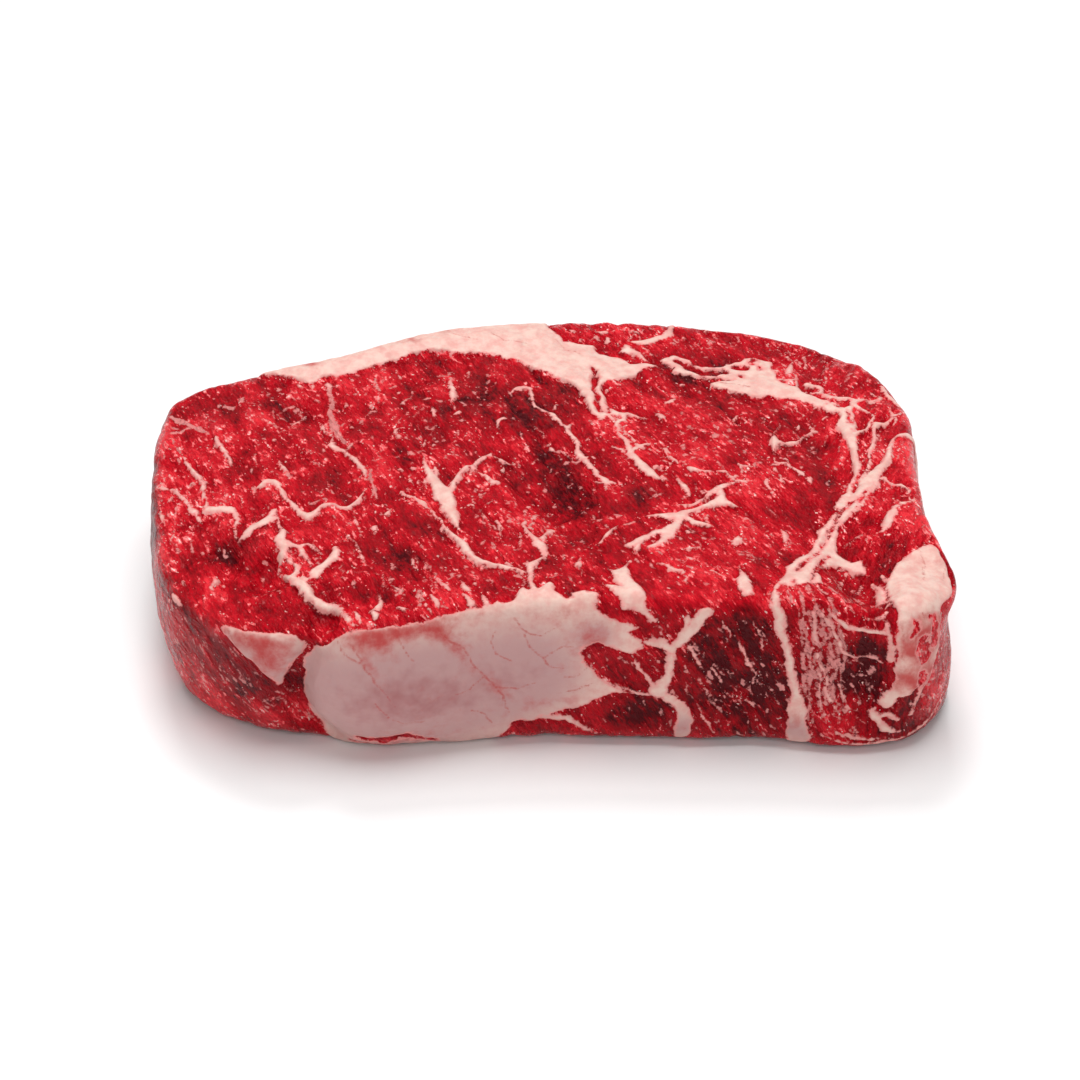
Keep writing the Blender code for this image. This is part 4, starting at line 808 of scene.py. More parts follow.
SIDE_FLECKS = (
    (-28, 17, 60, 14, 0, 180, 2.6, 0.5),  # left end
    (22, 17, 34, 12, 0, 200, 3.0, 0.5),
    (54, 14, 20, 10, 0, 110, 3.0, 0.5),
    (158, 16, 12, 18, 90, 130, 2.8, 0.5),  # front, right of the fat cap
    (136, 22, 14, 10, 20, 50, 2.2, 0.5),
    (184, 14, 12, 16, 90, 80, 2.4, 0.5),
    (216, 18, 18, 18, 0, 130, 3.0, 0.5),
    (262, 18, 44, 18, 0, 330, 2.6, 0.5),  # right end
    (345, 18, 50, 18, 0, 300, 2.6, 0.5),  # back
)

# Soft patches of tone on the upper cut face, as x, y, half length, half width, direction and how much
# brighter the lean is there. The darker ones along the fat of the back and over the valley, pits, seams and
# hollows of the face are painted shade; those at (-20, -10) and (-72, -44) are painted light on slopes that
# face the lamps.
TONES_AND_SHADING = (
    # the next four: painted shade along the step under the fat of the back
    (-28, 46, 11, 1.6, 8, -1.0),  # along the fat of the back
    (-45, 39.6, 5, 1.5, 22, -1.0),
    (-8, 45, 6, 1.6, -32, -1.0),
    (4, 37, 6, 1.6, -52, -1.0),
    (30, 40, 8, 6, 0, -0.7),
    (60, 24, 6, 5, 0, -0.6),
    (1, -32, 5, 5, 0, -0.6),
    (70, -24, 4, 5, 0, -0.5),
    (-50, -48, 8, 4, 0, -0.5),
    (-38, -48, 5, 4, 0, 0.6),
    (-60, 20, 9, 8, 0, 0.5),
    (-50, -20, 6, 8, 0, 0.6),
    # painted light on a slope that faces the lamps
    (-20, -10, 8, 8, 0, 0.6),
    (60, -40, 5, 6, 0, 0.4),
    (-80, -34, 5, 16, 0, 0.6),
    (-76, 5, 10, 30, 0, 0.6),
    # painted light on a slope that faces the lamps
    (-72, -44, 14, 9, 0, 0.5),
    (-12, 32, 14, 14, 0, -1.5),
    (-30, 22, 7, 20, 0, -0.5),
    (-28, -8, 5, 16, 0, -0.4),
    (-60, -24, 8, 9, 0, -0.7),
    (-32, -34, 12, 8, 0, -0.9),
    (-11, -31, 5, 7, 0, 1.0),
    (-8, -10, 8, 8, 0, 0.4),
    (4, 0, 8, 14, 0, -0.5),
    (20, -8, 5, 5, 0, -1.0),
    (21, -25, 6, 4, 0, -1.2),
    (34, 52, 14, 8, 0, -0.8),
    (32, -2, 7, 9, 0, 0.5),
    (22, 12, 4, 12, 0, 0.4),
    # painted shade in the hollow behind the corner fat
    (70, -33, 6, 8, 0, -0.9),
    (60, -8, 6, 7, 0, -0.6),
    (81, 5, 4, 18, 0, 0.9),
    # from here to the seam of the left muscle: painted shade in the valley, pits, seams and hollows of the
    # face
    (3, 0, 22, 7, 105, -1.1),  # valley between the muscles
    (7, -12, 7, 5, 90, -0.9),
    (0, 26, 14, 9, 60, -0.5),
    (-66, -24, 4, 3.5, 80, -0.7),
    (-56, -30, 3, 3, 60, -0.6),
    (-56, 28, 6, 5, 70, -0.5),
    (33, 38, 7, 4, 150, -0.7),
    (62, 0, 14, 4, 95, -0.6),
    (48, 25, 10, 5, 0, -0.4),
    (22, -8, 5, 4, 90, -0.6),
    (74, -25, 5, 3, 160, -0.8),
    (71, -19, 4, 2.5, 110, -0.6),
    (-48, 2, 22, 4, 105, -0.3),
    (30, -46, 14, 3, 0, 0.3),  # bright band along the front edge
    (-22, -47, 18, 4, 0, 0.1),
    (-36, 26, 10, 14, 90, 0.3),
    (-18, 32, 12, 12, 90, 0.2),
    (40, 10, 16, 12, 30, 0.2),
    (79, 8, 4, 12, 95, 0.6),  # islands in the cap
    (78.5, -19, 4, 8, 95, 0.6),
    (72.4, 22.5, 3, 5, 95, 0.5),
    (40, 58, 26, 5, 0, 0.5),
    # painted shade in the hollow behind the corner fat
    (65, -42, 8, 8, 95, -0.1),
)
# Tone of the side, as s, z and the same. The darker patches in the crease, in the hollows and over the front
# side's lean from s 120 to 190 are painted shade, the front side getting less light than the top.
SIDE_TONES_AND_SHADING = (
    (22, 9, 8, 7, 0, 0.8),
    (-4, 20, 34, 18, 0, -0.8),  # left wall
    (54, 14, 14, 10, 0, -0.2),
    (36, 8, 12, 6, 0, 0.8),
    (40, 16, 8, 8, 120, 0.3),
    (150, 27, 5, 8, 90, -0.4),
    (176, 30, 5, 12, 90, 0.7),
    (150, 16, 30, 20, 0, -0.6),
    # painted shade in the crease
    (69, 16, 5, 22, 90, -0.9),  # crease
    (135, 22, 8, 6, 140, 0.2),
    # the next two: painted shade in a hollow of the front side
    (137, 8, 12, 5, 5, -1.0),
    (137, 7, 6, 3, 5, -0.6),
    (160, 20, 14, 16, 90, -1.5),
    (158, 33, 8, 4, 0, -0.6),
    # the next two: painted shade in the hollows beside the corner fat
    (187.5, 26.5, 4, 3, 0, -2.2),
    (187, 18.5, 5, 5, 0, -2.6),
    (178, 24, 6, 14, 90, -0.1),
    (198, 6, 8, 5, 0, -0.7),
    (212, 18, 10, 18, 90, -0.25),
)

# Soft patches of pale haze, a fine lace in the lean, with how dense it is.
HAZES = (
    (54, -48, 7, 4, -10, 1.1),
    (-58, 8, 22, 30, 0, 0.4),
    (-76, 6, 8, 18, 0, 0.4),
    (-38, -44, 14, 9, 0, -1.0),
    (-58, -22, 10, 10, 0, -0.6),
    (-10, -54, 18, 6, 0, -0.8),
    (26, -30, 10, 12, 0, -0.5),
    (26, 52, 22, 8, 0, -0.6),
    (-16, 36, 14, 10, 0, -0.5),
    (-80, 33, 6, 4, 0, 0.8),
    (-80, -20, 5, 14, 95, 0.7),
    (-37.5, 16, 3, 7, 90, 0.5),
    (-37, 42, 4, 3, 0, 0.8),
    (-43, -41, 5, 4, 90, 0.7),
    (-59, -43.5, 5, 3, 20, 0.6),
    (-47.5, 27, 3, 13, 95, 0.6),
    (55, 6, 4, 4, 0, 0.6),
    (28, -47, 18, 4, 0, -0.8),
    (40, 10, 16, 12, 20, 0.25),
    (-20, -40, 20, 8, 0, 0.35),
    (82, -22, 3, 6, 90, 0.5),
    (60, 46, 10, 10, 0, 0.25),
    (-70, 31, 5, 3, 0, 0.6),
)
SIDE_HAZES = (
    (-4, 22, 14, 14, 0, -0.6),
    (30, 12, 14, 10, 0, 0.3),  # left wall
    (45, 12, 8, 8, 130, 0.5),
    (214, 18, 12, 18, 90, 0.6),
    (176, 28, 6, 14, 90, 1.0),
    (183, 34, 6, 4, 0, 0.6),
    (160, 10, 9, 9, 90, 0.3),
    (330, 18, 90, 18, 0, 0.3),
)

# Soft patches of grey membrane on the side, with how dense it is.
FILMS = (
    (92, 16, 26, 16, 0, 0.66),
    (88, 18, 20, 9, 0, 0.16),
    (173, 6, 4, 6, 90, 0.4),
    (149, 6, 4, 5, 90, 0.4),
    (118, 22, 12, 12, 0, 0.35),
    (55, 25, 14, 8, 0, 0.3),
    (214, 24, 10, 10, 90, 0.35),
    (-16, 18, 34, 40, 0, 0.75),
    (131, 30, 5, 4, 0, 0.3),
)

# Soft patches where blood stains the fat, on the upper cut face and on the side, with how red it is.
STAINS = (
    (-38, 55, 8, 5, 20, 0.5),  # left end of the back band
    (-53, 50, 3, 3, 0, 0.8),
    (-53, 46, 2, 2, 0, 0.7),
    (-29.7, 53.5, 2, 1.5, 0, 0.6),
    (-21.6, 57, 2, 1.5, 0, 0.5),
    (20, 63, 16, 2.5, -5, 0.5),
    (72, 47, 8, 2.5, -35, 0.6),
    (82, -30, 4, 8, 95, 0.25),
)
SIDE_STAINS = (
    (96, 35.3, 17, 1.2, 2, 0.6),  # rim of the fat cap
    (91, 32.6, 11, 1.8, 3, 0.95),
    (101, 30, 5, 2.5, 150, 0.4),
    (83, 27, 5, 1.3, -60, 0.5),
    (102, 26.5, 8, 1.6, -52, 0.4),
    (110, 18, 4, 1.6, -60, 0.5),
    (97, 14, 14, 8, 20, 0.15),
    (173, 8, 4, 8, 90, 0.35),
    (149, 6, 4, 6, 90, 0.35),
    (56, 30, 14, 4, 0, 0.7),  # fat triangle
    (84, 31, 6, 3, 150, 0.5),
    (122, 34, 8, 3, 20, 0.35),
    (127, 26, 5, 6, 100, 0.3),
    (120, 12, 10, 3, 10, 0.35),
    (88, 4.5, 12, 2.5, 0, 0.5),
    (63, 25, 6, 5, 90, 0.65),
    (146, 24, 3, 8, 90, 0.3),
    (131, 30, 4, 4, 0, 0.5),
    (199, 27, 3, 6, 90, 1.0),
    (176, 36, 6, 5, 90, 0.5),
    (200, 31, 5, 9, 90, 0.9),
    (195, 20, 4, 8, 90, 0.6),
    (200, 18, 4, 5, 90, 0.9),
    (186, 7, 6, 3, 0, 0.5),
    (402, 23, 12, 2, 8, 0.8),  # fat of the back
    (418, 13, 10, 1.8, -10, 0.75),
    (396, 33, 7, 1.5, 5, 0.7),
    (390, 9, 5, 2.4, 40, 0.7),
    (428, 28, 6, 1.8, -20, 0.75),
)

# Fine vessels in the fat of the side, as s, z, width.
SIDE_THREADS = (
    (80, 31, 0.28, 82, 27, 0.39, 84, 23.5, 0.28, 86, 20.5, 0.22, 88, 16, 0.11),
    (77, 31.5, 0.22, 79, 28.5, 0.33, 80, 27.5, 0.28, 82.5, 26.5, 0.17),
    (90, 32, 0.17, 91, 28.5, 0.22, 92.5, 26.5, 0.17),
    (98, 33, 0.28, 100, 30, 0.33, 103, 28, 0.44, 105, 24, 0.33, 107, 20.5, 0.44, 110, 17.5, 0.33, 111.5,
     15, 0.22, 112.5, 10, 0.17),
    (107, 20.5, 0.28, 104, 18, 0.17, 101, 17, 0.11),
    (110, 17.5, 0.22, 114, 16.5, 0.28, 118, 18, 0.17),
    (116, 30, 0.28, 117, 27, 0.22, 120, 24, 0.33, 121, 22, 0.22, 124, 21, 0.17),
    (120, 24, 0.22, 123, 26.5, 0.28, 126, 27, 0.22),
    (114, 34, 0.22, 116, 31, 0.33, 119, 30, 0.22, 122, 31.5, 0.17),
    (88, 12, 0.17, 91, 10.5, 0.17, 94, 11, 0.11),
    (84, 17, 0.11, 86, 14, 0.17, 87, 12.5, 0.11),
    (113, 24, 0.17, 110, 26, 0.28, 108.5, 29, 0.22, 110, 31.5, 0.17),
    (122, 15, 0.17, 126, 15.5, 0.28, 130, 17.5, 0.17),
    (124, 19, 0.17, 127, 19.5, 0.28, 129, 21.5, 0.17),
    (104, 12, 0.11, 107, 10.5, 0.17, 109, 7.5, 0.17),
    (56, 31.5, 0.22, 57.5, 30, 0.33, 59, 29.5, 0.22),
    (61, 27, 0.17, 62, 25, 0.28, 62.5, 23, 0.17),
    (52, 31, 0.17, 54, 29.5, 0.22, 55, 28, 0.17),
    (193, 33, 0.17, 194, 29, 0.22, 193.5, 25, 0.17),
    (197, 38, 0.17, 198, 34.5, 0.28, 197, 32, 0.17),
)
THREADS = (
    (-40, 57.5, 0.22, -34, 56.5, 0.33, -28, 57, 0.17),
    (-22, 57, 0.22, -19, 55, 0.28, -15, 54.5, 0.17),
    (-12, 57, 0.17, -8, 54, 0.22, -3, 53.5, 0.17),
    (4, 56, 0.17, 6, 52, 0.22, 10, 49, 0.17),
    (36, 40, 0.17, 42, 37.5, 0.28, 48, 36, 0.17),
    (84, -24, 0.17, 84, -30, 0.28, 82.5, -36, 0.22),
    (79.5, -27, 0.17, 79.5, -32, 0.28, 78.5, -38, 0.17),
)

# Hollows and lumps of the upper cut face, and of the side: x, y, half length, half width, direction in
# degrees, rise.
FACE_LUMPS = (
    (-66.5, -24, 3, 2.4, 80, -1.6),
    (-56.2, -29.8, 2.6, 2, 60, -1.4),
    (-61, -27, 3, 2.5, 60, 0.8),
    (-52, -33, 5, 2.5, 150, 0.7),
    (-66, -33, 5, 3, 30, 0.6),
    (-58, -20, 4, 2.5, 110, 0.6),
    (-50, -22, 3, 4, 100, 0.6),
    (-45, -14, 5, 3, 120, 0.5),
    (-71, -14, 3, 4, 90, -0.7),
    (-62, -12, 4, 3, 30, -0.6),
    (-40, -27, 4, 2.5, 60, 0.5),
    (14, -24.5, 5, 2, 58, 0.5),
    (71, -19.5, 4, 1.8, 95, -1.0),
    (66, -44, 3.5, 6, 95, -1.0),
    (79, 8, 3, 4, 90, 0.5),
    (78, -1, 2.5, 3, 90, 0.5),
    (78, -14, 2.5, 5, 90, 0.4),
)
SIDE_LUMPS = (
    (112, 27, 3.2, 2.8, 0, 0.9),
    (113.5, 20, 3.5, 3, 0, 0.8),
    (118, 28.5, 2.5, 2.2, 0, 0.6),
    (107, 31, 3, 2.5, 0, 0.4),
    (122, 21, 2.6, 2.4, 0, 0.5),
    (108, 14, 3, 3, 0, 0.4),
    (118, 34, 4, 2, 0, 0.5),
    (127, 31, 3, 3, 0, 0.5),
    (103, 24, 2, 6, 60, -0.5),
    (66, 30, 3, 2.4, 0, 0.7),
    (56, 29, 4, 2, 0, 0.4),
    (193.5, 30, 2, 5, 90, 0.6),
    (196, 18, 3, 3, 0, 0.6),
    (187, 27, 3.5, 3.5, 0, -0.9),
    (186, 19, 5, 5, 0, -1.0),
    (173, 8, 2.5, 5, 90, 0.6),
    (149, 6, 2.4, 4, 90, 0.6),
    (138, 23, 6, 3, 140, -0.5),
    (137, 8.5, 9, 3.5, 5, -0.5),
    (45, 17, 2, 1.6, 0, 0.6),
    (48, 9, 2, 2.4, 0, 0.5),
    (57, 10, 2.5, 2, 0, 0.5),
    (36, 12, 3, 3, 0, 0.5),
    (28, 7, 3, 2.5, 0, 0.5),
    (40, 5, 3, 2, 0, 0.5),
)


# ---- Form: the solid's functions, for arrays of points ----


def smooth(x, low, high):
    """0 below low, 1 above high, eased between."""
    t = np.clip((x - low) / (high - low), 0.0, 1.0)
    return t * t * (3.0 - 2.0 * t)


def rim_spans():
    return np.linalg.norm((np.roll(RIM, -1, axis=0) - RIM)[:, :2], axis=1)


def rim_at(share):
    """The rim's five values at each share of the way round, on a closed Hermite spline through RIM."""
    count = len(RIM)
    spans = rim_spans()
    ends = np.cumsum(spans)
    along = (share % 1.0) * ends[-1]
    index = np.minimum(np.searchsorted(ends, along, side="right"), count - 1)
    t = ((along - ends[index] + spans[index]) / spans[index])[:, None]
    before, start, end, after = (RIM[(index + k) % count] for k in (-1, 0, 1, 2))
    span_before, span, span_after = (spans[(index + k) % count][:, None] for k in (-1, 0, 1))
    slope_start = (end - before) / (span_before + span) * span
    slope_end = (after - start) / (span + span_after) * span
    return (
        (2 * t**3 - 3 * t**2 + 1) * start
        + (t**3 - 2 * t**2 + t) * slope_start
        + (3 * t**2 - 2 * t**3) * end
        + (t**3 - t**2) * slope_end
    )


def outward_at(share):
    ahead = (rim_at(share + 0.001) - rim_at(share - 0.001))[:, :2]
    normal = np.column_stack((ahead[:, 1], -ahead[:, 0]))
    return normal / np.linalg.norm(normal, axis=1)[:, None]


def bumps(x, y, forms):
    """Sum of oval bumps, each given as x, y, half length, half width, direction in degrees, height."""
    total = np.zeros(len(x))
    for form_x, form_y, length, width, direction, rise in forms:
        turn = math.radians(direction)
        along = ((x - form_x) * math.cos(turn) + (y - form_y) * math.sin(turn)) / length
        across = ((y - form_y) * math.cos(turn) - (x - form_x) * math.sin(turn)) / width
        total += rise * np.exp(-(along**2) - across**2)
    return total


def distance_to_crease(x, z):
    nearest = np.full(len(x), np.inf)
    for (x0, z0), (x1, z1) in zip(CREASE, CREASE[1:]):
        run_x, run_z = x1 - x0, z1 - z0
        share = np.clip(((x - x0) * run_x + (z - z0) * run_z) / (run_x**2 + run_z**2), 0.0, 1.0)
        nearest = np.minimum(nearest, np.hypot(x - x0 - share * run_x, z - z0 - share * run_z))
    return nearest


def side_relief(x, z):
    out = -CREASE_DEPTH * np.exp(-((distance_to_crease(x, z) / CREASE_HALF_WIDTH) ** 2))
    for form_x, form_z, length, height, rise in SIDE_FORMS:
        out += rise * np.exp(-(((x - form_x) / length) ** 2) - ((z - form_z) / height) ** 2)
    return out


def upper_points(share, reach):
    """Points of the upper cut face. reach is 0 at its middle and 1 where the edge starts to round over."""
    station = rim_at(share)
    outer = station[:, :2] - UPPER_EDGE_RADIUS * outward_at(share)
    plan = MIDDLE + (outer - MIDDLE) * reach[:, None]
    height = MIDDLE_HEIGHT + (station[:, 2] - MIDDLE_HEIGHT) * reach**3.5
    return np.column_stack((plan, height + bumps(plan[:, 0], plan[:, 1], MUSCLE_FORMS)))


def side_points(share, drop, pull_in):
    """Points of the side, drop below the upper face's border and pulled in from the rim by pull_in."""
    x, y, _, undercut, swell = rim_at(share).T
    height = upper_points(share, np.ones(len(share)))[:, 2]
    z = height - drop
    down = np.clip((drop - UPPER_EDGE_RADIUS) / (height - UPPER_EDGE_RADIUS), 0.0, 1.0)
    eased = 0.5 * (down + down**2)
    eased = eased**2 * (3.0 - 2.0 * eased)
    out = swell * 4.0 * down * (1.0 - down) - undercut * eased - pull_in
    near_edges = np.minimum(drop / UPPER_EDGE_RADIUS, 1.0) * np.minimum(z / LOWER_EDGE_RADIUS, 1.0)
    out = out + np.where(y < 0.0, side_relief(x, z) * near_edges, 0.0)
    return np.column_stack((np.column_stack((x, y)) + out[:, None] * outward_at(share), z))


# ---- Skin mesh ----


def disc_rings():
    """Ring and place on the ring, 0 to 1, of every vertex of a disc whose ring k has 6 k vertices."""
    ring = np.repeat(np.arange(1, FACE_RINGS + 1), 6 * np.arange(1, FACE_RINGS + 1))
    start = 3 * ring * (ring - 1)
    place = (np.arange(len(ring)) - start) / (6 * ring)
    return np.concatenate(([0], ring)), np.concatenate(([0.0], place))


def disc_triangles():
    """Triangles of that disc, anticlockwise, as vertex numbers with the middle first."""
    faces = []
    for ring in range(1, FACE_RINGS + 1):
        outer = 1 + 3 * ring * (ring - 1)
        inner = 1 + 3 * (ring - 1) * (ring - 2)
        sixth, step = np.divmod(np.arange(6 * ring), ring)
        near = inner + (sixth * (ring - 1) + step) % max(6 * (ring - 1), 1) if ring > 1 else 0 * step
        here = outer + np.arange(6 * ring)
        after = outer + (np.arange(6 * ring) + 1) % (6 * ring)
        faces.append(np.column_stack((here, after, near)))
        if ring > 1:
            inside = step < ring - 1
            nexts = inner + (sixth * (ring - 1) + step + 1) % (6 * (ring - 1))
            faces.append(np.column_stack((near, after, nexts))[inside])
    return np.concatenate(faces)


def band_triangles(first, second, count):
    """Triangles between two closed rows of count vertices, the first row above the second."""
    place = np.arange(count)
    after = (place + 1) % count
    one = np.column_stack((first[place], second[place], second[after]))
    other = np.column_stack((first[place], second[after], first[after]))
    return np.concatenate((one, other))


def upper_section(share, ring):
    """Points on the upper piece: the cut face, then the rounded edge, then the top of the side."""
    flat = FACE_RINGS - EDGE_RINGS
    points = upper_points(share, np.minimum(ring / flat, 1.0))
    arc = UPPER_EDGE_RADIUS * math.pi / 2
    run = np.maximum(ring - flat, 0) / EDGE_RINGS * (arc + UPPER_SEAM_DROP - UPPER_EDGE_RADIUS)
    turn = np.minimum(run / arc, 1.0) * math.pi / 2
    drop = UPPER_EDGE_RADIUS * (1.0 - np.cos(turn)) + np.maximum(run - arc, 0.0)
    edge = ring > flat
    points[edge] = side_points(share[edge], drop[edge], UPPER_EDGE_RADIUS * (1.0 - np.sin(turn[edge])))
    return points, np.degrees(turn)


def side_section(share, row):
    """Points on the side piece, from the upper seam to the seam on the lower edge."""
    height = upper_points(share, np.ones(len(share)))[:, 2]
    straight = height - UPPER_SEAM_DROP - LOWER_EDGE_RADIUS
    arc = LOWER_EDGE_RADIUS * math.radians(LOWER_SEAM_TURN)
    run = row / SIDE_ROWS * (straight + arc)
    turn = np.maximum(run - straight, 0.0) / LOWER_EDGE_RADIUS
    drop = UPPER_SEAM_DROP + np.minimum(run, straight) + LOWER_EDGE_RADIUS * np.sin(turn)
    return side_points(share, drop, LOWER_EDGE_RADIUS * (1.0 - np.cos(turn))), np.degrees(turn)


def lower_section(share, ring):
    """Points on the lower piece: the end of the rounded lower edge and the flat lower cut face."""
    flat = FACE_RINGS - LOWER_EDGE_RINGS
    height = upper_points(share, np.ones(len(share)))[:, 2]
    left = np.maximum(ring - flat, 0) / LOWER_EDGE_RINGS
    turn = math.pi / 2 - left * math.radians(90.0 - LOWER_SEAM_TURN)
    drop = height - LOWER_EDGE_RADIUS * (1.0 - np.sin(turn))
    edge = side_points(share, drop, LOWER_EDGE_RADIUS * (1.0 - np.cos(turn)))
    plan = MIDDLE + (edge[:, :2] - MIDDLE) * np.minimum(ring / flat, 1.0)[:, None]
    return np.column_stack((plan, edge[:, 2])), np.degrees(turn)


class Skin:
    """Every vertex of the steak's skin, with the faces of its three pieces."""

    def __init__(self):
        ring, place = disc_rings()
        count = 6 * FACE_RINGS
        disc = len(ring)
        rim_row = np.arange(disc - count, disc)
        row = np.repeat(np.arange(1, SIDE_ROWS), count)
        row_place = np.tile(np.arange(count) / count, SIDE_ROWS - 1)
        upper, upper_turn = upper_section(place, ring.astype(float))
        side, side_turn = side_section(row_place, row.astype(float))
        lower, lower_turn = lower_section(place, ring.astype(float))
        self.points = np.concatenate((upper, side, lower))
        self.share = np.concatenate((place, row_place, place))
        self.upper_turn = np.concatenate((upper_turn, np.full(len(row), 90.0), np.full(disc, 90.0)))
        self.lower_turn = np.concatenate((np.zeros(disc), side_turn, lower_turn))
        rows = np.concatenate((rim_row, disc + np.arange(len(row)), disc + len(row) + rim_row))
        rows = rows.reshape(SIDE_ROWS + 1, count)
        self.upper_faces = disc_triangles()
        self.side_faces = np.concatenate([band_triangles(a, b, count) for a, b in zip(rows, rows[1:])])
        self.lower_faces = disc_triangles()[:, ::-1] + disc + len(row)

    def normals(self):
        """Unit normal of every vertex, from all three pieces."""
        total = np.zeros_like(self.points)
        for faces in (self.upper_faces, self.side_faces, self.lower_faces):
            a, b, c = (self.points[faces[:, k]] for k in range(3))
            normal = np.cross(b - a, c - a)
            for k in range(3):
                for axis in range(3):
                    total[:, axis] += np.bincount(faces[:, k], normal[:, axis], len(total))
        return total / np.maximum(np.linalg.norm(total, axis=1), 1e-12)[:, None]


# ---- Depth fields ----


class Field:
    """How deep points of a plane lie inside the drawn shapes, in millimetres, negative outside."""

    CELL = 2.0
    FAR = -3.0

    def __init__(self, x, y):
        self.x, self.y = x, y
        self.depth = np.full(len(x), self.FAR)
        self.low = np.array((x.min(), y.min()))
        column = ((x - self.low[0]) / self.CELL).astype(int)
        line = ((y - self.low[1]) / self.CELL).astype(int)
        self.size = np.array((column.max() + 1, line.max() + 1))
        cell = line * self.size[0] + column
        self.order = np.argsort(cell, kind="stable")
        self.starts = np.searchsorted(cell[self.order], np.arange(self.size.prod() + 1))

    def near(self, x0, x1, y0, y1):
        """Numbers of the points in the cells that a box touches."""
        first = np.clip(((x0, y0) - self.low) // self.CELL, 0, self.size - 1).astype(int)
        last = np.clip(((x1, y1) - self.low) // self.CELL, 0, self.size - 1).astype(int)
        lines = range(first[1], last[1] + 1)
        spans = [(line * self.size[0] + first[0], line * self.size[0] + last[0] + 1) for line in lines]
        return np.concatenate([self.order[self.starts[a] : self.starts[b]] for a, b in spans])

    def stroke_depth(self, points, reach=1.5):
        """(numbers, depth) of the points near a line of (x, y, width) points with round ends."""
        points = np.array(points)
        margin = points[:, 2].max() / 2 + reach
        low, high = points[:, :2].min(axis=0) - margin, points[:, :2].max(axis=0) + margin
        chosen = self.near(low[0], high[0], low[1], high[1])
        depth = np.full(len(chosen), self.FAR)
        for (x0, y0, w0), (x1, y1, w1) in zip(points, points[1:]):
            run_x, run_y = x1 - x0, y1 - y0
            square = max(run_x**2 + run_y**2, 1e-9)
            share = ((self.x[chosen] - x0) * run_x + (self.y[chosen] - y0) * run_y) / square
            share = np.clip(share, 0.0, 1.0)
            apart = np.hypot(self.x[chosen] - x0 - share * run_x, self.y[chosen] - y0 - share * run_y)
            depth = np.maximum(depth, (w0 + (w1 - w0) * share) / 2 - apart)
        return chosen, depth

    def outline_depth(self, points, reach=1.5):
        """(numbers, depth) of the points near a closed outline."""
        points = np.array(points)
        low, high = points.min(axis=0) - reach, points.max(axis=0) + reach
        chosen = self.near(low[0], high[0], low[1], high[1])
        x, y = self.x[chosen], self.y[chosen]
        inside = np.zeros(len(chosen), bool)
        nearest = np.full(len(chosen), np.inf)
        for (x0, y0), (x1, y1) in zip(points, np.roll(points, -1, axis=0)):
            run_x, run_y = x1 - x0, y1 - y0
            square = max(run_x**2 + run_y**2, 1e-9)
            share = np.clip(((x - x0) * run_x + (y - y0) * run_y) / square, 0.0, 1.0)
            nearest = np.minimum(nearest, np.hypot(x - x0 - share * run_x, y - y0 - share * run_y))
            if y0 != y1:
                inside ^= ((y0 > y) != (y1 > y)) & (x < run_x * (y - y0) / run_y + x0)
        return chosen, np.where(inside, nearest, -nearest)

    def add(self, found):
        chosen, depth = found
        self.depth[chosen] = np.maximum(self.depth[chosen], depth)

    def cut(self, found):
        chosen, depth = found
        self.depth[chosen] = np.minimum(self.depth[chosen], -depth)

    def add_flecks(self, flecks, seed, grain):
        """Scatters short strokes along the grain, which gives an angle in degrees for a place.

        Each group is (x, y, half length, half width, direction, number, length, width).
        """
        chance = np.random.default_rng(seed)
        for x, y, long, wide, direction, number, length, width in flecks:
            turn = math.radians(direction)
            for _ in range(number):
                along, across = chance.normal(0.0, 0.6, 2) * (long, wide)
                at_x = x + along * math.cos(turn) - across * math.sin(turn)
                at_y = y + along * math.sin(turn) + across * math.cos(turn)
                lean = math.radians(grain(at_x, at_y) + chance.normal(0.0, 16.0))
                half = 0.5 * length * chance.uniform(0.4, 1.4)
                bend = chance.normal(0.0, 0.15) * half
                thick = width * chance.uniform(0.6, 1.3)
                step_x, step_y = half * math.cos(lean), half * math.sin(lean)
                middle = (at_x - bend * math.sin(lean), at_y + bend * math.cos(lean), thick)
                ends = ((at_x - step_x, at_y - step_y, 0.1), (at_x + step_x, at_y + step_y, 0.1))
                self.add(self.stroke_depth((ends[0], middle, ends[1]), reach=0.8))


def lattice_noise(points, cell, seed):
    """Smooth noise from -1 to 1 on points. cell is the size of its features, or one size for each axis."""
    scaled = points / cell
    corner = np.floor(scaled).astype(np.int64)
    t = scaled - corner
    t = t * t * (3.0 - 2.0 * t)
    total = np.zeros(len(points))
    axes = points.shape[1]
    primes = np.array((73856093, 19349663, 83492791))[:axes]
    for pick in range(2**axes):
        bits = np.array([(pick >> axis) & 1 for axis in range(axes)])
        hashed = ((corner + bits) * primes).sum(axis=1) + seed * 2654435761
        hashed = (hashed ^ (hashed >> 13)) * 1274126177 & 0xFFFFFFFF
        hashed = (hashed ^ (hashed >> 16)) & 0xFFFF
        total += np.where(bits, t, 1.0 - t).prod(axis=1) * (hashed / 32767.5 - 1.0)
    return total


# ---- Looks of every vertex ----


def strokes(flat):
    return np.array(flat, float).reshape(-1, 3)


def outline(flat):
    return np.array(flat, float).reshape(-1, 2)


def face_grain(x, _):
    """Direction of the fibres at a place on a cut face, in degrees."""
    if x > CAP_FROM:
        return CAP_GRAIN
    return MIDDLE_GRAIN if MIDDLE_FROM < x <= MIDDLE_TO else OUTER_GRAIN


def side_grain(s, _):
    return FRONT_GRAIN if s < RIGHT_END_FROM else BACK_GRAIN


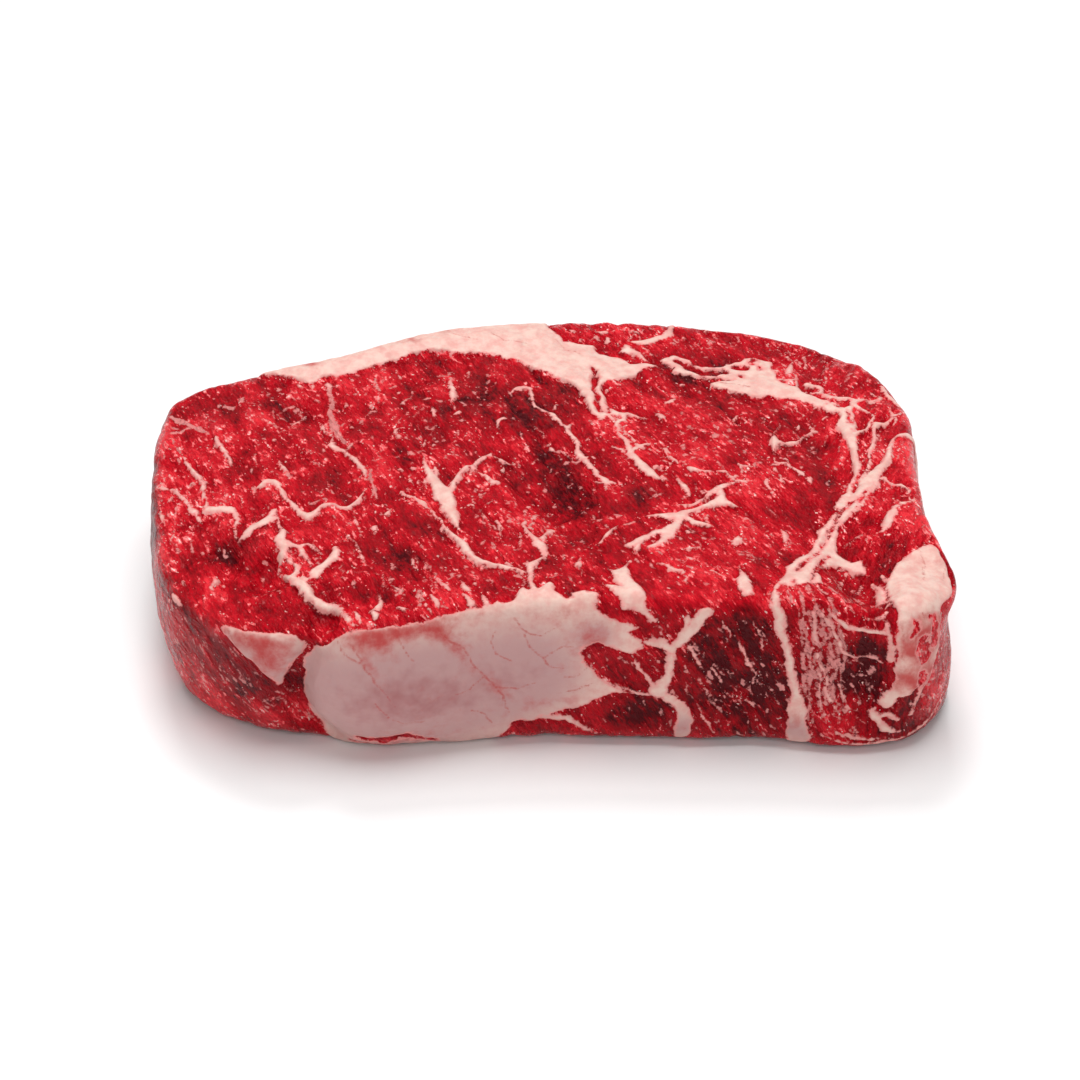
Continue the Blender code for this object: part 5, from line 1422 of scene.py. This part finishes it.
def drawn_fat(x, y, masses, cuts, veins_and_glints):
    """How deep points lie in the fat drawn in their plane: masses, less their cuts, and veins, with painted
    glints.
    """
    fat = Field(x, y)
    for shape in masses:
        fat.add(fat.outline_depth(outline(shape), MASS_REACH))
    for line in cuts:
        fat.cut(fat.stroke_depth(strokes(line)))
    for line in veins_and_glints:
        fat.add(fat.stroke_depth(strokes(line)))
    return fat


def drawn_lines(x, y, lines):
    field = Field(x, y)
    for line in lines:
        field.add(field.stroke_depth(strokes(line)))
    return field


def face_fat(x, y):
    fat = drawn_fat(x, y, MASSES, CUTS, VEINS_AND_PAINTED_GLINTS)
    for dot_x, dot_y, width in DOTS_AND_PAINTED_GLINTS:
        fat.add(fat.stroke_depth(((dot_x, dot_y, width), (dot_x + DOT_LENGTH, dot_y, width))))
    return fat.depth


def face_pink(x, y, seed):
    """How deep points of a cut face lie in its pink bands, ovals and flecks."""
    pink = drawn_lines(x, y, PINKS)
    for oval_x, oval_y, wide, tall in OVALS:
        thick, long = min(wide, tall), abs(tall - wide) / 2
        step_x, step_y = (DOT_LENGTH / 2 + long * lengthwise for lengthwise in (wide > tall, tall >= wide))
        start, end = (oval_x - step_x, oval_y - step_y, thick), (oval_x + step_x, oval_y + step_y, thick)
        pink.add(pink.stroke_depth((start, end)))
    pink.add_flecks(FLECKS, seed, face_grain)
    return pink.depth


def side_pink(s, z):
    """How deep points of the side lie in its flecks and in the web of strands behind the white seam."""
    pink = Field(s, z)
    pink.add_flecks(SIDE_FLECKS, SIDE_FLECK_SEED, side_grain)
    for strand in range(WEB_STRANDS):
        spread = strand / (WEB_STRANDS - 1.0)
        sway = WEB_SWAY * math.sin(WEB_SWAY_STEP * strand)
        line = [
            (at_s + wider * spread + bend * sway, at_z + rise * spread + lift * sway, width)
            for at_s, wider, bend, at_z, rise, lift, width in WEB
        ]
        pink.add(pink.stroke_depth(line))
    return pink.depth


class Looks:
    """What every vertex of the skin shows: depths in millimetres, and shares from 0 to 1."""

    def __init__(self, skin):
        x, _, z = skin.points.T
        off_face = smooth(skin.upper_turn, *FACE_TO_SIDE)
        self.on_side = off_face * (1.0 - smooth(skin.lower_turn, *SIDE_TO_LOWER))
        self.below = skin.lower_turn > SIDE_TO_LOWER[0]
        rim = float(rim_spans().sum())
        s = (skin.share * rim + SIDE_START) % rim - SIDE_START
        self.shown = smooth(s, *SHOWN_FROM) * (1.0 - smooth(s, *SHOWN_TO))
        plan_x, plan_y = self.plan(skin)
        wobble_x, wobble_y = (self.wobble(skin.points, seed) for seed in WOBBLE_SEEDS)
        self.plan_x, self.plan_y = plan_x + wobble_x, plan_y + wobble_y
        self.s, self.z = s + wobble_x, z
        self.height = z + wobble_y * smooth(z, 0.0, 3.0)
        self.find_depths(skin.points)
        self.cap = smooth(x, *CAP_EDGE)
        self.furrows = self.find_furrows(skin.points)
        self.find_patches()

    def find_depths(self, points):
        """Depths into fat, pink and threads, in plan on the faces and unrolled on the side.

        Where the photo doesn't show the side, the upper face's fat goes on down it and wanders sideways.
        """
        upper = (self.on_side < 1.0) & ~self.below
        lower = (self.on_side < 1.0) & self.below
        side = self.on_side > 0.0
        unseen = side & (self.shown < 1.0)
        sway = BACK_SWAY * lattice_noise(points, BACK_SWAY_CELL, 43)
        back_x = self.plan_x + sway * smooth(self.z, 2.0, 12.0) * (1.0 - smooth(self.z, 26.0, 36.0))
        faces, drawn, guessed, pinks, flecks, self.thread = np.full((6, len(points)), Field.FAR)
        for chosen, seed in ((upper, UPPER_FLECK_SEED), (lower, LOWER_FLECK_SEED)):
            faces[chosen] = face_fat(self.plan_x[chosen], self.plan_y[chosen])
            pinks[chosen] = face_pink(self.plan_x[chosen], self.plan_y[chosen], seed)
        guessed[unseen] = face_fat(back_x[unseen], self.plan_y[unseen])
        drawn[side] = drawn_fat(self.s[side], self.height[side], SIDE_MASSES, SIDE_CUTS, SIDE_VEINS).depth
        flecks[side] = side_pink(self.s[side], self.height[side])
        walls = np.maximum(drawn, guessed - GUESS_FADE * self.shown)
        walls = np.where(self.shown > 0.99, drawn, walls)
        self.fat = faces * (1.0 - self.on_side) + walls * self.on_side
        self.pink = pinks * (1.0 - self.on_side) + flecks * self.on_side
        self.thread[upper] = drawn_lines(self.plan_x[upper], self.plan_y[upper], THREADS).depth
        seen = self.on_side * self.shown > 0.5
        self.thread[seen] = drawn_lines(self.s[seen], self.height[seen], SIDE_THREADS).depth

    def find_patches(self):
        """Soft patches of tone with painted shading, haze, film, stain and lumps, drawn in plan and on the
        side.
        """
        on_face, on_side = 1.0 - self.on_side, self.on_side
        tone_and_shading_patches = self.patches(TONES_AND_SHADING, SIDE_TONES_AND_SHADING, 1.0 - on_side * self.shown, on_side)
        self.haze = np.clip(self.patches(HAZES, SIDE_HAZES, on_face, on_side), -1.0, 1.0)
        self.film = np.clip(bumps(self.s, self.z, FILMS), 0.0, 1.0) * on_side
        self.stain = np.clip(self.patches(STAINS, SIDE_STAINS, on_face, on_side), 0.0, 1.0)
        on_upper = np.where(self.below, 0.0, on_face)
        self.lumps = self.patches(FACE_LUMPS, SIDE_LUMPS, on_upper, on_side * self.shown)
        # Painted shade and light: the tone is darker in the relief's furrows and hollows and brighter on its
        # lumps.
        self.tone = tone_and_shading_patches + 1.1 * self.furrows + 0.5 * np.minimum(self.lumps, 0.6)

    def patches(self, on_plan, unrolled, plan_share, side_share):
        in_plan = bumps(self.plan_x, self.plan_y, on_plan)
        return in_plan * plan_share + bumps(self.s, self.z, unrolled) * side_share

    def wobble(self, points, seed):
        """Small sideways wander that takes the straightness out of every drawn line."""
        return 0.45 * lattice_noise(points, 4.0, seed) + 0.3 * lattice_noise(points, 1.7, seed + 10)

    def find_furrows(self, points):
        """Relief of the lean: streaks along the fibres, and rounded bundles with furrows between them."""
        found = []
        for axes in (FIBRES, CAP_FIBRES):
            fibres = points @ np.array(axes).T
            streak = lattice_noise(fibres, (1.7, 7.0, 7.0), 21)
            fine = lattice_noise(fibres, (1.0, 2.6, 2.6), 22)
            bundle = 1.0 - np.abs(lattice_noise(fibres, (5.0, 13.0, 13.0), 23)) * 2.2
            cell = 1.0 - np.abs(lattice_noise(fibres, (2.4, 4.5, 4.5), 27)) * 2.4
            found.append(0.16 * streak + 0.08 * fine - 0.5 * bundle - 0.22 * cell)
        swell = lattice_noise(points, (11.0, 9.0, 11.0), 25)
        return found[0] * (1.0 - self.cap) + found[1] * self.cap + 0.5 * swell

    def plan(self, skin):
        """Where each vertex reads the drawing in plan: a little inwards, wandering below the upper edge."""
        x, y, z = skin.points.T
        on_walls = smooth(skin.upper_turn, 60.0, 90.0) * smooth(40.0 - z, 2.0, 20.0)
        drift = np.where(self.below, LOWER_DRIFT, WALL_DRIFT * on_walls)
        inward = (MIDDLE - skin.points[:, :2]) * (0.02 + 0.05 * drift[:, None] / LOWER_DRIFT)
        wander = [lattice_noise(skin.points, (9.0, 9.0, 14.0), seed) for seed in (5, 6)]
        return x + inward[:, 0] + drift * wander[0], y + inward[:, 1] + drift * wander[1]


def relief(skin, looks):
    """How far each vertex moves along its normal."""
    fat = looks.fat
    mass = smooth(fat, -0.3, 0.8)
    lift = 0.15 * mass + 0.3 * smooth(fat, 0.8, 4.0)
    lift -= 0.25 * smooth(fat, -1.1, -0.3) * (1.0 - smooth(fat, -0.3, 0.1))  # groove beside the fat
    lift += 0.12 * smooth(looks.pink, -0.2, 0.3) * (1.0 - mass)
    grain = lattice_noise(skin.points, 2.6, 24)
    roll = lattice_noise(skin.points, 6.0, 26)
    lift += (looks.furrows - 0.3) * (1.0 - 0.75 * mass) + mass * (0.16 * grain + 0.3 * roll) + looks.lumps
    # The rounded edge stays calmer, and the lower face flat on the ground.
    lift *= 1.0 - 0.5 * smooth(skin.upper_turn, 5.0, 45.0)
    under = smooth(skin.lower_turn, 60.0, 90.0)
    return lift * (1.0 - under) + np.minimum(lift - 0.8, 0.0) * under


# ---- Pieces ----


def add_attribute(mesh, name, values):
    kind = "FLOAT" if values.ndim == 1 else "FLOAT_VECTOR"
    layer = mesh.attributes.new(name, kind, "POINT")
    layer.data.foreach_set("value" if values.ndim == 1 else "vector", values.astype(np.float32).ravel())


def make_piece(name, points, normals, looks, faces, uv, material):
    """One piece of the skin, on its own vertices, with the normals of the whole skin."""
    used, numbers = np.unique(faces, return_inverse=True)
    numbers = numbers.reshape(-1)
    mesh = bpy.data.meshes.new(name)
    mesh.vertices.add(len(used))
    places = (points[used] - np.append(SHIFT, 0.0)) * MM
    mesh.vertices.foreach_set("co", places.astype(np.float32).ravel())
    mesh.loops.add(len(numbers))
    mesh.loops.foreach_set("vertex_index", numbers.astype(np.int32))
    mesh.polygons.add(len(faces))
    mesh.polygons.foreach_set("loop_start", np.arange(0, len(numbers), 3, dtype=np.int32))
    mesh.update(calc_edges=True)
    mesh.polygons.foreach_set("use_smooth", np.ones(len(faces), bool))
    layer = mesh.uv_layers.new(name="OFBake")
    layer.data.foreach_set("uv", uv.astype(np.float32).ravel())
    for key in ("fat", "pink", "tone", "haze", "film", "stain", "thread", "cap"):
        add_attribute(mesh, key, getattr(looks, key)[used])
    add_attribute(mesh, "place", points[used])
    mesh.normals_split_custom_set_from_vertices(normals[used].tolist())
    mesh.materials.append(material)
    piece = bpy.data.objects.new(name, mesh)
    bpy.context.scene.collection.objects.link(piece)
    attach(piece, "root")
    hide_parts("steak")
    return piece


def face_uv(skin, faces, start):
    """Plan layout of a cut face's piece, with its rounded edge laid flat around it."""
    ring, place = disc_rings()
    flat = FACE_RINGS - EDGE_RINGS if start == 0 else FACE_RINGS - LOWER_EDGE_RINGS
    step = UPPER_EDGE_STEP if start == 0 else LOWER_EDGE_STEP
    plan = skin.points[start : start + len(ring), :2]
    beyond = np.maximum(ring - flat, 0)[:, None] * step
    edge = np.minimum(ring, flat)
    inner = plan[np.where(ring > flat, 1 + 3 * edge * (edge - 1) + (place * 6 * edge).astype(int), 0)]
    laid = np.where(beyond > 0, inner + outward_at(place) * beyond, plan)
    return (laid[faces.ravel() - start] + FACE_SHEET_MIDDLE) / FACE_SHEET


def side_uv(faces, start):
    """The side laid out in strips, one above another."""
    count = 6 * FACE_RINGS
    first, last = start - count, start + (SIDE_ROWS - 1) * count
    lower_rim = last + len(disc_rings()[0]) - count
    numbers = np.where(faces < start, faces - first, faces - start + count)
    numbers = np.where(faces >= last, faces - lower_rim + SIDE_ROWS * count, numbers)
    row, column = np.divmod(numbers, count)
    least = column.min(axis=1)
    wraps = (column.max(axis=1) - least) > count // 2
    column = np.where(wraps[:, None] & (column == 0), count, column)
    strip = column.min(axis=1) * SIDE_STRIPS // count
    u = column / (count / SIDE_STRIPS) - strip[:, None]
    v = (strip[:, None] + 0.02 + 0.95 * (1.0 - row / SIDE_ROWS)) / SIDE_STRIPS
    return np.column_stack(((0.004 + 0.992 * u).ravel(), v.ravel()))


# ---- Nodes of the materials ----


class Nodes:
    """Short calls for a material's node tree."""

    def __init__(self, material):
        material.use_nodes = True
        self.tree = material.node_tree
        self.tree.nodes.clear()

    def add(self, kind, **settings):
        node = self.tree.nodes.new(kind)
        for key, value in settings.items():
            setattr(node, key, value)
        return node

    def feed(self, socket, value):
        if isinstance(value, bpy.types.NodeSocket):
            self.tree.links.new(value, socket)
        else:
            socket.default_value = value

    def attribute(self, name, vector=False):
        node = self.add("ShaderNodeAttribute", attribute_name=name)
        return node.outputs["Vector" if vector else "Fac"]

    def math(self, operation, *values):
        node = self.add("ShaderNodeMath", operation=operation)
        for socket, value in zip(node.inputs, values):
            self.feed(socket, value)
        return node.outputs[0]

    def vector(self, operation, *values):
        node = self.add("ShaderNodeVectorMath", operation=operation)
        for socket, value in zip(node.inputs, values):
            self.feed(socket, value)
        return node.outputs["Value" if operation == "DOT_PRODUCT" else 0]

    def ease(self, value, low, high):
        node = self.add("ShaderNodeMapRange", interpolation_type="SMOOTHSTEP")
        for socket, number in zip(node.inputs, (value, low, high, 0.0, 1.0)):
            self.feed(socket, number)
        return node.outputs[0]

    def noise(self, place, scale, detail=2.0, rough=0.5):
        node = self.add("ShaderNodeTexNoise")
        self.feed(node.inputs["Vector"], place)
        node.inputs["Scale"].default_value = scale
        node.inputs["Detail"].default_value = detail
        node.inputs["Roughness"].default_value = rough
        return node.outputs[0]

    def mix(self, share, first, second):
        node = self.add("ShaderNodeMix", data_type="RGBA")
        self.feed(node.inputs["Factor"], share)
        for socket, value in zip([s for s in node.inputs if s.type == "RGBA"], (first, second)):
            self.feed(socket, value if isinstance(value, bpy.types.NodeSocket) else (*value, 1.0))
        return [s for s in node.outputs if s.type == "RGBA"][0]

    def scaled(self, noise, span):
        """Noise turned about zero, from about minus to plus half the span."""
        return self.math("MULTIPLY", self.math("SUBTRACT", noise, 0.5), span)

    def blend(self, share, first, second):
        change = self.math("SUBTRACT", second, first)
        return self.math("ADD", first, self.math("MULTIPLY", share, change))

    def along(self, place, axes, squeeze):
        """Coordinates of a place on three axes, each scaled."""
        joined = self.add("ShaderNodeCombineXYZ")
        for socket, axis, factor in zip(joined.inputs, axes, squeeze):
            scaled = tuple(float(factor * a) for a in axis)
            self.feed(socket, self.vector("DOT_PRODUCT", place, scaled))
        return joined.outputs[0]


def streaks(n, place, settings, squeeze):
    """Noise drawn out along the fibres, with the cap muscle's own direction."""
    cap = n.attribute("cap")
    most, capped = (n.noise(n.along(place, axes, squeeze), *settings) for axes in (FIBRES, CAP_FIBRES))
    return n.blend(cap, most, capped)


def lean_tone_and_shading(n, lace, tone):
    """Colour of the lean by its tone and painted shading, from dark and shaded to bright and lit."""
    tone = n.math("ADD", tone, n.math("MULTIPLY", n.ease(lace, 0.5, 0.72), 1.2))
    lean = n.mix(n.ease(tone, *DARK_TO_DEEP), LEAN_DARK_AND_SHADED, LEAN_DEEP)
    lean = n.mix(n.ease(tone, *DEEP_TO_LEAN), lean, LEAN)
    return n.mix(n.ease(tone, *LEAN_TO_BRIGHT), lean, LEAN_BRIGHT_AND_LIT)


def lean_colour(n, place, lace, tone, ragged, film):
    """The lean with its lace of fine fat, its painted glints, its flecks and the membrane over it."""
    colour = n.mix(n.math("MULTIPLY", n.ease(lace, *LACE_EDGE), 0.9), lean_tone_and_shading(n, lace, tone), LACE)
    # Painted glints: white spots where wet highlights would be, and white cores in the largest specks.
    painted_glint = n.math("ADD", n.noise(place, *PAINTED_GLINTS), n.math("MULTIPLY", n.ease(lace, 0.5, 0.75), 0.12))
    painted_glint = n.math("MAXIMUM", n.ease(painted_glint, *PAINTED_GLINT_EDGE), n.ease(lace, *LACE_PAINTED_GLINT_EDGE))
    colour = n.mix(n.math("MULTIPLY", painted_glint, 0.9), colour, PAINTED_GLINT)
    fleck = n.ease(n.math("ADD", n.attribute("pink"), ragged), *FLECK_EDGE)
    colour = n.mix(n.math("MULTIPLY", fleck, 0.8), colour, FLECK)
    return n.mix(n.math("MULTIPLY", film, 0.85), colour, LEAN_VEILED)


def fat_colour(n, place, depth, grit, patches, film):
    """The fat with membrane, blood stains and vessels on it, and its darker border."""
    fat = n.mix(n.ease(n.noise(place, *WARMTH), 0.35, 0.7), FAT, FAT_WARM)
    fat = n.mix(n.ease(film, 0.0, 0.5), fat, FILM_PALE)
    fat = n.mix(n.ease(n.math("ADD", film, n.scaled(patches, 0.5)), 0.5, 1.0), fat, FILM)
    stained = n.math("ADD", n.attribute("stain"), n.scaled(n.noise(place, *BLOOD), 1.3))
    fat = n.mix(n.math("MULTIPLY", n.ease(stained, *STAIN_EDGE), 0.9), fat, STAIN)
    thread = n.math("ADD", n.attribute("thread"), n.scaled(grit, 1.0))
    fat = n.mix(n.math("MULTIPLY", n.ease(thread, *THREAD_EDGE), 0.6), fat, CAPILLARY)
    return n.mix(n.ease(depth, *VEIN_BORDER), fat, VEIN_EDGE)


def make_shader(n, colour, share, film, height):
    """The wet surface. share is 0 on the lean and 1 on the fat, which is duller."""
    shader = n.add("ShaderNodeBsdfPrincipled")
    n.feed(shader.inputs["Base Color"], colour)
    rough = n.math("ADD", n.math("MULTIPLY", share, FAT_ROUGHER), n.math("MULTIPLY", film, FILM_ROUGHER))
    n.feed(shader.inputs["Roughness"], n.math("ADD", LEAN_ROUGHNESS, rough))
    shader.inputs["Specular IOR Level"].default_value = 0.2
    shader.inputs["Specular Tint"].default_value = (1.0, 0.35, 0.35, 1.0)
    shader.inputs["Subsurface Weight"].default_value = 0.1
    shader.inputs["Subsurface Radius"].default_value = (1.0, 0.35, 0.25)
    shader.inputs["Subsurface Scale"].default_value = 1.2 * MM
    bump = n.add("ShaderNodeBump")
    n.feed(bump.inputs["Height"], height)
    bump.inputs["Strength"].default_value = 0.9
    bump.inputs["Distance"].default_value = 0.6 * MM
    n.feed(shader.inputs["Normal"], bump.outputs[0])
    n.feed(n.add("ShaderNodeOutputMaterial").inputs["Surface"], shader.outputs[0])


def make_meat():
    material = bpy.data.materials.new("raw_beef")
    n = Nodes(material)
    place = n.attribute("place", vector=True)
    wide = streaks(n, place, WIDE_STREAKS, (1.0, 0.18, 0.18))
    fine = streaks(n, place, FINE_STREAKS, (1.0, 0.3, 0.3))
    blotch, grit, patches = (n.noise(place, *settings) for settings in (BLOTCHES, GRIT, PATCHES))
    specks = n.noise(n.along(place, FIBRES, (1.0, 0.4, 0.4)), *SPECKS)
    fat_depth, film = n.attribute("fat"), n.attribute("film")
    # Lean: its tone and painted shading, and a lace of fine fat, thicker in the haze, near fat and where it
    # is bright
    halo = n.math("MULTIPLY", n.ease(fat_depth, -2.2, 0.0), 0.6)
    haze = n.math("ADD", n.attribute("haze"), halo)
    lace = n.math("ADD", specks, n.scaled(patches, 0.4))
    lace = n.math("ADD", lace, n.scaled(blotch, 0.2))
    lace = n.math("ADD", lace, n.math("MULTIPLY", haze, 0.06))
    tone = n.math("ADD", n.attribute("tone"), n.scaled(blotch, 3.4))
    tone = n.math("ADD", tone, n.scaled(wide, 3.8))
    tone = n.math("ADD", tone, n.scaled(fine, 3.2))
    lace = n.math("ADD", lace, n.math("MULTIPLY", n.ease(tone, -1.8, 1.0), 0.09))
    # Fat over it, with a ragged border
    ragged = n.math("ADD", n.scaled(grit, 1.3), n.scaled(n.noise(place, *RAGS), 1.5))
    depth = n.math("ADD", fat_depth, ragged)
    share = n.ease(depth, *FAT_EDGE)
    lean = lean_colour(n, place, lace, tone, ragged, film)
    colour = n.mix(share, lean, fat_colour(n, place, depth, grit, patches, film))
    # Fine relief
    height = n.math("MULTIPLY", n.ease(lace, 0.58, 0.7), 0.5)
    height = n.math("ADD", height, n.math("MULTIPLY", n.ease(wide, 0.45, 0.75), 0.6))
    height = n.math("ADD", height, n.math("MULTIPLY", n.ease(specks, 0.35, 0.65), 0.5))
    height = n.blend(share, height, n.math("MULTIPLY", patches, 1.2))
    make_shader(n, colour, share, film, height)
    return material


# ---- Stage ----


def make_floor():
    mesh = bpy.data.meshes.new("floor")
    half = FLOOR_HALF
    corners = [(-half, -half, 0.0), (half, -half, 0.0), (half, half, 0.0), (-half, half, 0.0)]
    mesh.from_pydata(corners, [], [(0, 1, 2, 3)])
    material = bpy.data.materials.new("floor")
    n = Nodes(material)
    shader = n.add("ShaderNodeBsdfPrincipled")
    shader.inputs["Base Color"].default_value = (*FLOOR_COLOUR, 1.0)
    shader.inputs["Roughness"].default_value = 0.9
    shader.inputs["Specular IOR Level"].default_value = 0.0
    n.feed(n.add("ShaderNodeOutputMaterial").inputs["Surface"], shader.outputs[0])
    mesh.materials.append(material)
    floor = bpy.data.objects.new("floor", mesh)
    bpy.context.scene.collection.objects.link(floor)


def aim(thing, target):
    """Turns a light or camera, which look down their own Z, to a target."""
    direction = np.array(target) - np.array(thing.location)
    flat = math.hypot(direction[0], direction[1])
    thing.rotation_euler = (math.atan2(flat, -direction[2]), 0.0, math.atan2(-direction[0], direction[1]))


def make_light(name, place, size, power):
    data = bpy.data.lights.new(name, "AREA")
    data.shape = "RECTANGLE"
    data.size, data.size_y = size
    data.energy = power
    light = bpy.data.objects.new(name, data)
    light.location = place
    aim(light, (0.0, 0.0, 0.0))
    bpy.context.scene.collection.objects.link(light)


def make_stage():
    make_floor()
    for light in LIGHTS:
        make_light(*light)
    world = bpy.data.worlds.new("studio")
    bpy.context.scene.world = world
    world.use_nodes = True
    background = world.node_tree.nodes["Background"]
    background.inputs["Color"].default_value = (1.0, 1.0, 1.0, 1.0)
    background.inputs["Strength"].default_value = WORLD_STRENGTH
    bpy.context.scene.view_settings.view_transform = "Standard"


def make_camera():
    data = bpy.data.cameras.new("camera")
    data.lens = CAMERA_LENS
    data.sensor_width = CAMERA_SENSOR
    data.clip_start = CAMERA_CLIP
    camera = bpy.data.objects.new("camera", data)
    lift = math.radians(CAMERA_LIFT)
    target = np.array((-SHIFT[0], -SHIFT[1], CAMERA_HEIGHT)) * MM
    away = np.array((0.0, -math.cos(lift), math.sin(lift))) * CAMERA_DISTANCE * MM
    camera.location = target + away
    aim(camera, target)
    bpy.context.scene.collection.objects.link(camera)
    bpy.context.scene.camera = camera


# ---- Scene ----


def main():
    skin = Skin()
    looks = Looks(skin)
    skin.points = skin.points + skin.normals() * relief(skin, looks)[:, None]
    skin.points[:, 2] = np.maximum(skin.points[:, 2], 0.0)
    normals = skin.normals()
    meat = make_meat()
    side_start = int(skin.upper_faces.max()) + 1
    lower_start = len(skin.points) - side_start
    pieces = (
        ("steak_top", skin.upper_faces, face_uv(skin, skin.upper_faces, 0)),
        ("steak_side", skin.side_faces, side_uv(skin.side_faces, side_start)),
        ("steak_bottom", skin.lower_faces, face_uv(skin, skin.lower_faces, lower_start)),
    )
    for name, faces, uv in pieces:
        make_piece(name, skin.points, normals, looks, faces, uv, meat)
    make_stage()
    make_camera()


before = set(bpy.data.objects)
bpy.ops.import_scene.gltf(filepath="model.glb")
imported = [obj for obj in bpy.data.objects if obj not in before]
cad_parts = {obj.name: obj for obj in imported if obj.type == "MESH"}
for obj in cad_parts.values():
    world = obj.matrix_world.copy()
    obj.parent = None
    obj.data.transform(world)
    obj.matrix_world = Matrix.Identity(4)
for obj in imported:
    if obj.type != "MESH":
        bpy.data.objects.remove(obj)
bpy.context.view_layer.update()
main()
